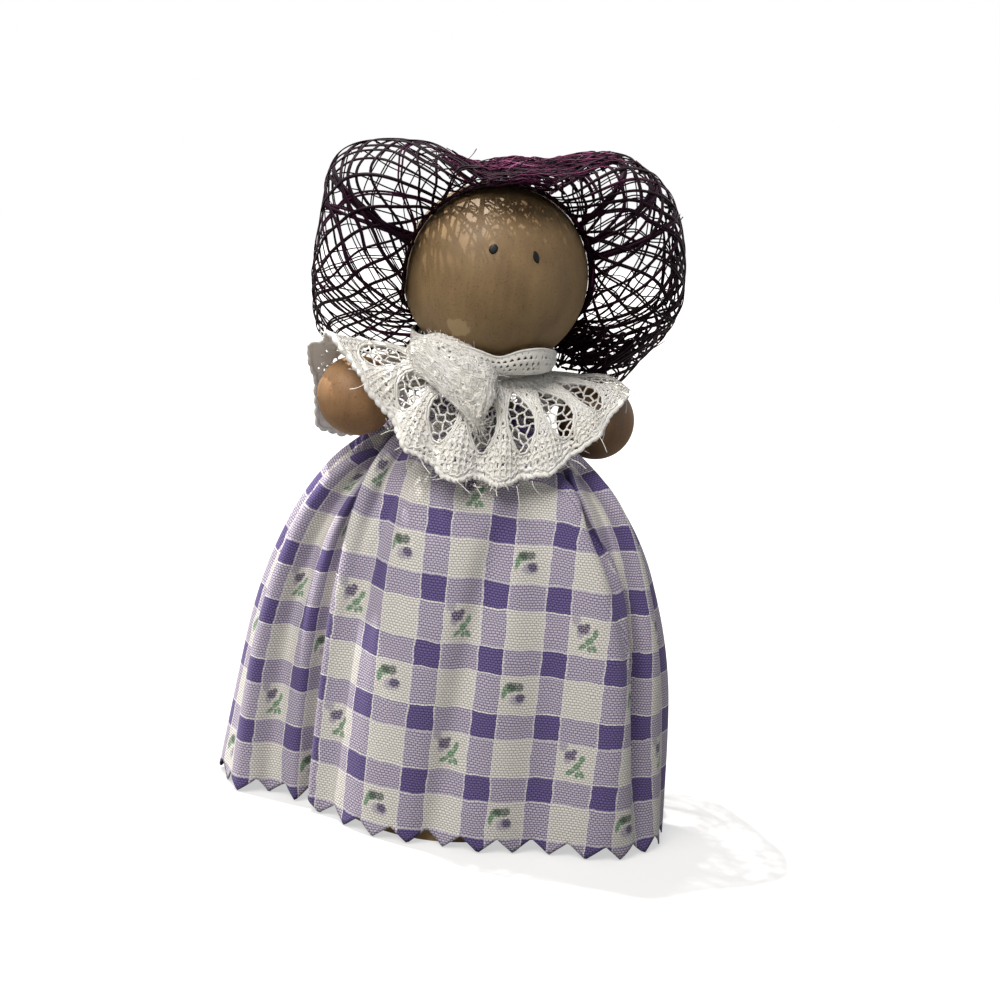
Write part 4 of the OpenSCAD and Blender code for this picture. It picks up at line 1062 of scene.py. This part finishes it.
def cottonThread():
    # bleached cotton, soft and matt, faintly warm, with a dull halo of loose fibre
    material, tree, shader = newMaterial("bleached cotton lace")
    place = addNode(tree, "TexCoord").outputs["Object"]
    fine = addNode(tree, "TexNoise", {"Vector": place, "Scale": 1 / (0.28 * mm), "Detail": 3, "Roughness": 0.7})
    soft = addNode(tree, "TexNoise", {"Vector": place, "Scale": 1 / (3.5 * mm), "Detail": 2})
    ramp = addNode(tree, "ValToRGB", {0: addNode(tree, "Math", {0: fine, 1: 0.6, 2: soft}, operation="MULTIPLY_ADD")})
    setStops(ramp, [(0.40, "#E9E5DC"), (0.70, "#F6F4EE"), (1.0, "#FCFBF8")])
    relief = addNode(tree, "Bump", {"Strength": 0.6, "Distance": 0.12 * mm, "Height": fine})
    feed(tree, shader, {"Base Color": ramp, "Roughness": 0.85, "Sheen Weight": 0.5, "Sheen Roughness": 0.4,
                        "Normal": relief})
    return material


def laceKept(a, q, own):
    # squares of the cloth that stay: all but the windows, the pinholes of the fans and the net of the heading
    middleA, middleQ = a[:-1] + 180 / lace["columns"], (q[1:] + q[:-1]) / 2
    share = (middleQ - tieQ) / (1 - tieQ)
    x, half = np.abs(windowGap(middleA, share)), windowHalf(share)
    keep = ~((x < half) & (share > lace["windowFrom"]) & (share < lace["windowTo"]))
    g = fanPlace(middleA)
    fanX = (g - np.floor(g) - 0.5) * fanWidth(share)
    column, row, across, down = lattice(fanX, share * lace["frill"], lace["stitch"], lace["row"])
    most = own.random((400, 60))[np.floor(g * 12).astype(int) % 400, np.clip(row, 0, 59)] < lace["openShare"]
    inFan = (share > lace["holesFrom"]) & (share < lace["holesTo"]) & (x > half + 0.35)
    keep &= ~((across < 0.17) & (down < 0.24) & most & inFan)
    depth, along = middleQ / tieQ * lace["headingDepth"], np.radians(middleA) * lace["headingReach"]
    column, row, across, down = lattice(along, depth, lace["headingNet"], lace["headingRow"])
    diamond = across * lace["headingNet"] + down * lace["headingRow"] < 0.22
    few = own.random((90, 12))[column % 90, np.clip(row, 0, 11)]
    return keep & ~(diamond & (middleQ < tieQ) & (depth > 0.35) & (few < np.where(depth < 1.7, 0.9, 0.4)))


def netEdges():
    # the sides of a sheet of six-sided cells, each once, in mm
    cell = lace["netCell"]
    side = cell / math.sqrt(3)
    edges = set()
    for column in range(-3, 4):
        for row in range(18):
            x, y = column * cell * 0.87, row * cell + (column % 2) * cell * 0.5
            corners = [(round(x + side * math.cos(t), 2), round(y + side * 0.98 * math.sin(t), 2))
                       for t in (math.radians(60 * k) for k in range(7))]
            edges |= {(min(pair), max(pair)) for pair in zip(corners, corners[1:])}
    return np.array(sorted(edges))


def addCollar(cotton):
    surface = laceSurface()
    own = np.random.default_rng(31)
    columns, headingRows, frillRows = lace["columns"], lace["headingRows"], lace["frillRows"]
    angle = -180 + 360 * np.arange(columns) / columns
    heading = np.linspace(0, tieQ, headingRows, endpoint=False)
    a = np.repeat(angle[None], headingRows + frillRows, 0)
    q = np.concatenate([np.repeat(heading[:, None], columns, 1),
                        frillQ(np.linspace(0, 1, frillRows)[:, None] * edgeShare(angle)[None])])
    front, out = onLace(surface, a, q)
    sheet = clothPiece("laceCloth", front, front - out * lace["thickness"], laceKept(a, q, own), cotton, "lace",
                       "lace_collar")
    windows = len(lace["windows"])
    marks = np.array(lace["windows"] + [lace["windows"][0] + 360], float)
    marks = np.concatenate([[marks[-2] - 360], marks, [marks[1] + 360]])

    def fromFan(number, across, share):
        # the angle of a place so many mm across from the middle of a window or fan
        return np.interp(number + across / fanWidth(share), np.arange(-1, windows + 2), marks)

    # six-sided net in the windows
    net = []
    edges = netEdges()
    for number in range(windows):
        jitterX, jitterY = waves(100 + number, 2.2), waves(200 + number, 2.2)
        offset = own.uniform(-0.5, 0.5)
        for (x0, y0), (x1, y1) in edges:
            t = np.linspace(0, 1, 4)
            x, y = x0 + (x1 - x0) * t + offset, y0 + (y1 - y0) * t + lace["windowFrom"] * lace["frill"] - 0.8
            x, y = x + 0.16 * jitterX(x, y), y + 0.16 * jitterY(x, y)
            s = y / lace["frill"]
            ok = (np.abs(x) < windowHalf(s) + 0.35) & (s > lace["windowFrom"] - 0.01) & (s < lace["windowTo"] + 0.01)
            if ok.sum() >= 3:
                net.append((*onLace(surface, fromFan(number, x, s), frillQ(s), -0.12),
                            lace["netThread"] * own.uniform(0.85, 1.2), 0.17, 0.6))

    # a bound edge round each window, the ribs of each fan, and its meandering threads
    threads = []

    def thread(angles, q, lift, width, thick, tone=0.5):
        threads.append((*onLace(surface, angles, q, lift), width, thick, tone))

    turn = np.linspace(0, 1, 46)
    for number in range(windows):
        s = lace["windowFrom"] + (lace["windowTo"] - lace["windowFrom"]) * (1 - np.abs(2 * turn - 1))
        x = np.where(turn < 0.5, 1, -1) * (windowHalf(s) + 0.12) + 0.06 * np.sin(turn * 90)
        thread(fromFan(number, x, s), frillQ(s), 0.02, 0.36, 0.3)
        middle = number + 0.5
        for part in (-0.30, -0.17, -0.06, 0.06, 0.17, 0.30):
            s = np.linspace(0.16 + abs(part) * 0.5, 0.955, 60)
            x = part * fanWidth(s) + 0.13 * np.sin(s * lace["frill"] / lace["row"] * 2 * np.pi + 20 * part)
            room = np.maximum(0.5 * fanWidth(s) - (windowHalf(s) + 0.45), 0.05)
            thread(fromFan(middle, np.clip(x, -room, room), s), frillQ(s), 0.06, 0.27, 0.24, 0.8)
        for k, level in enumerate(np.arange(0.22, 0.95, lace["row"] / lace["frill"])):
            room = 0.5 * fanWidth(level) - (windowHalf(level) if level < lace["windowTo"] else 0) - 0.1
            count = max(int(room * 2 / 0.24), 4)
            x = np.linspace(-room, room, count)
            zigzag = 0.17 * np.sin(x / lace["stitch"] * 2 * np.pi + np.pi * (k % 2)) + own.normal(0, 0.03, count)
            s = level + zigzag / lace["frill"]
            thread(fromFan(middle, x, s), frillQ(s), 0.04, 0.25, 0.2)
    # the corded edge, a line of stitches inside it, and the heading's top
    allRound = np.linspace(-180, 180, 1300)
    bumps = 1 + 0.35 * np.abs(np.sin(np.pi * fanPlace(allRound) * 8))
    thread(allRound, frillQ(edgeShare(allRound) + 0.003), -0.1, 0.55 * bumps, 0.5 * bumps, 0.7)
    thread(allRound, frillQ(edgeShare(allRound) - 0.045), 0.05, 0.34, 0.3, 0.7)
    thread(allRound, np.full(1300, 0.004), -0.1, 0.3, 0.34, 0.7)

    # loose ends along the edge, then fuzz all over
    hairs = []
    for k in range(lace["looseEnds"]):
        at = own.uniform(-180, 180) if k > 16 else own.choice(lace["endsInFront"]) + own.uniform(-3, 3)
        share = 0.97 + own.uniform(-0.03, 0.03)
        size = own.uniform(1.2, 3.4)
        start, normal = onLace(surface, np.array([at]), frillQ(np.array([share])), 0.1)
        way = normal[0] * 0.5 + around(at) * own.uniform(-0.1, 0.9) + own.normal(0, 0.5, 3) + [0, 0, -0.7]
        hairs.append(looseFibre(start, normal, unit(way), size, own.normal(0, 0.35, 3), 8, 0.11, 0.1, 0.8))
    for k in range(lace["fuzz"]):
        at, share = own.uniform(-180, 180), own.uniform(0.02, 1.0)
        if abs(windowGap(at, share)) < windowHalf(share):
            continue
        start, normal = onLace(surface, np.array([at]), frillQ(np.array([share])), 0.12)
        way = unit(normal[0] * own.uniform(0.2, 1.0) + own.normal(0, 0.8, 3))
        hairs.append(looseFibre(start, normal, way, own.uniform(0.4, 1.1), own.normal(0, 0.5, 3), 4, 0.045, 0.045, 0.8))
    hairs = [(clearOfHands(path, lace["hairGap"]), *rest) for path, *rest in hairs]
    pieces = [strandPiece(name, strands, cotton, "lace")
              for name, strands in (("laceThreads", threads), ("laceNet", net), ("laceFuzz", hairs))]
    print("lace: faces", [len(piece.data.polygons) for piece in [sheet] + pieces])
    return sheet, pieces


laceCotton = cottonThread()
laceSheet, lacePieces = addCollar(laceCotton)
print("collar gathered")


# flap: the lace's left end laid over the front, its raw edge fraying

flap = {
    # along the flap from the neck's left side to the loose end at the knot: angle round the neck, height, reach
    "top": [[-80, 79.2, 13.0], [-66, 81.0, 13.0], [-50, 82.0, 13.1], [-33.5, 81.8, 13.1], [-18, 80.3, 13.2],
            [-7, 78.9, 13.3], [-1.5, 76.7, 13.6], [-0.8, 74.0, 13.9], [-5, 71.3, 14.2], [-10.7, 68.9, 14.4]],
    "middle": [[-79, 77.2, 14.0], [-68, 78.2, 14.6], [-54, 78.8, 15.2], [-40.5, 77.9, 15.6], [-28.8, 75.9, 15.8],
               [-20.3, 74.5, 15.8], [-13.6, 73.0, 15.8], [-10.8, 71.3, 15.7], [-10.9, 70.0, 15.4], [-11, 68.9, 14.9]],
    "bottom": [[-78, 75.4, 13.6], [-66, 74.9, 13.9], [-52, 73.9, 14.2], [-38, 72.9, 14.4], [-28.8, 71.9, 14.6],
               [-21.6, 70.7, 14.8], [-17.3, 69.7, 15.0], [-14.6, 68.7, 15.0], [-12.8, 68.6, 14.9], [-11.2, 68.7, 14.7]],
    # its size in mm as the patterns take it; its grid; raw fibres, of which the first are at the loose end and
    # the next up to "atEdge" at the upper edge; crinkled threads
    "length": 24, "width": 12, "columns": 190, "rows": 64, "thickness": 0.3,
    "fibres": 1100, "atEnd": 60, "atEdge": 200, "crinkled": 760}


def addFlap():
    own = np.random.default_rng(41)
    columns, rows = flap["columns"], flap["rows"]
    u, v = np.meshgrid(np.linspace(0, 1, columns), np.linspace(0, 1, rows))
    x, y = u * flap["length"], v * flap["width"]
    top, middle, bottom = (lineValue(flap[key], u) for key in ("top", "middle", "bottom"))
    # a curve through the three lines, so that the flap stands round and soft
    w = v[..., None]
    place = top * (1 - w) * (1 - 2 * w) + middle * 4 * w * (1 - w) - bottom * w * (1 - 2 * w)
    angle, height, reach = place[..., 0], place[..., 1], place[..., 2]
    # both long edges turn in towards the neck, and the cloth is crumpled and pinched at the knot
    reach = reach - 2.2 * (1 - ease(v / 0.10)) - 1.6 * (1 - ease((1 - v) / 0.10))
    rough = waves(51, 6, 9)(x, y)
    fold = 0.20 * np.sin(v * 21 + 2.2 * np.sin(u * 5) + 1.2 * rough) * (0.5 + 0.5 * u)
    pinch = 0.1 * np.cos((v - 0.5) * 30 + 2 * np.sin(u * 9)) * ease((u - 0.62) / 0.2)
    small = 0.06 * waves(52, 2.2, 9)(x, y) + 0.03 * waves(53, 0.9, 9)(x, y)
    reach = reach + (fold + pinch) * np.sin(np.pi * np.clip(v, 0.02, 0.98)) ** 0.5 + small
    front = around(angle) * reach[..., None]
    front[..., 2] = height + 0.25 * waves(54, 3.0, 7)(x, y) * np.sin(np.pi * v) + 0.12 * rough
    normal = unit(np.cross(np.gradient(front, axis=0), np.gradient(front, axis=1)))
    column, row, across, down = lattice(x[:-1, :-1], v[:-1, :-1] * 11, 0.72, 0.62)
    chance = 0.75 * bump(v[:-1, :-1] - 0.14, 0.10) + 0.10
    keep = ~((across < 0.2) & (down < 0.3) & (own.random((90, 40))[column, row] < chance))
    piece = clothPiece("laceFlap", front, front - normal * flap["thickness"], keep, laceCotton, "lace", closed=False)
    hairs = []
    for k in range(flap["fibres"]):
        r = int(own.integers(1, rows - 1))
        c = columns - 1 if k < flap["atEnd"] else int(own.integers(4, columns))
        r = int(own.integers(0, 4)) if flap["atEnd"] <= k < flap["atEdge"] else r
        way = unit(normal[r, c] * own.uniform(0.0, 0.45) + own.normal(0, 0.75, 3))
        size = own.uniform(0.4, 1.3) if k < flap["atEdge"] else own.uniform(0.3, 0.9)
        hairs.append(looseFibre(front[r, c], normal[r, c], way, size, own.normal(0, 0.8, 3), 6, 0.05, 0.05, 0.8))
    # soft crinkled threads that lie over the flap in all directions
    for k in range(flap["crinkled"]):
        c0, r0 = own.uniform(2, columns - 8), own.uniform(2, rows - 3)
        turn = own.normal(0.05, 0.4)
        run = np.arange(30) * own.uniform(0.5, 1.3)
        c = np.clip(c0 + run * np.cos(turn) + 0.9 * np.sin(run * 0.55 + k), 0, columns - 1.001)
        r = np.clip(r0 + run * 0.75 * np.sin(turn) + 0.9 * np.cos(run * 0.5 + 2 * k), 0.5, rows - 1.501)
        out = normal[r.astype(int), c.astype(int)]
        hairs.append((between(front, r, c) + out * own.uniform(0.0, 0.14), out, own.uniform(0.10, 0.20), 0.11, 0.8))
    fray = strandPiece("laceFray", hairs, laceCotton, "lace")
    print("flap: faces", len(piece.data.polygons), len(fray.data.polygons))
    return [piece, fray]


lacePieces + addFlap()
print("collar crossed")


# ties: a turn of two-ply sewing thread round the neck for the skirt and the lace, and round the nape

napeAxis = unit(np.array(bonnet["nape"], float))
ties = {
    "twist": 1.1, "points": 260, "sides": 7,
    # name, middle, axis, radius, thickness, CAD node, slot, the cotton's colour and its dark and pale tones
    "threads": [
        ("skirtTieThread", (0, 0, 69.791), (0, 0, 1), 6.15, 0.35, "skirt_tie", "purple_thread",
         "violet", "#4A3A70", "#7A68A8"),
        ("collarTieThread", (0, 0, 75.841), (0, 0, 1), 7.6, 0.25, "collar_tie", "lace",
         "white", "#CFC8B8", "#F2EEE4"),
        ("bonnetTieThread", head["middle"] + bonnet["nape"] + napeAxis * bonnet["tailLength"] * 0.45, napeAxis, 3.3,
         0.35, "bonnet_tie", "purple_thread", "plum", "#2A1024", "#5A2A50")]}


def plyThread(name, dark, pale):
    # mercerised cotton: a fine mottle between a dark and a pale tone
    material, tree, shader = newMaterial(name)
    place = addNode(tree, "TexCoord").outputs["Object"]
    ramp = addNode(tree, "ValToRGB", {0: addNode(tree, "TexNoise", {
        "Vector": place, "Scale": 1 / (0.15 * mm), "Detail": 2})})
    setStops(ramp, [(0.3, dark), (0.7, pale)])
    feed(tree, shader, {"Base Color": ramp, "Roughness": 0.6})
    return material


for name, centre, axis, radius, thick, node, slot, colour, dark, pale in ties["threads"]:
    axis = unit(np.array(axis, float))
    side = unit(np.cross(axis, [0.3, 1, 0.2]))
    t = np.linspace(0, 2 * np.pi, ties["points"])
    way = np.cos(t)[:, None] * side + np.sin(t)[:, None] * np.cross(axis, side)
    plies = []
    for start in (0, np.pi):
        spin = t * round(2 * np.pi * radius / ties["twist"]) + start
        path = (np.array(centre) + way * radius + (np.cos(spin) * thick * 0.5)[:, None] * way
                + (np.sin(spin) * thick * 0.5)[:, None] * axis)
        plies.append((path, way, thick, thick, 0.5))
    strandPiece(name, plies, plyThread(colour + " cotton thread", dark, pale), slot, node, ties["sides"])
print("ties knotted")
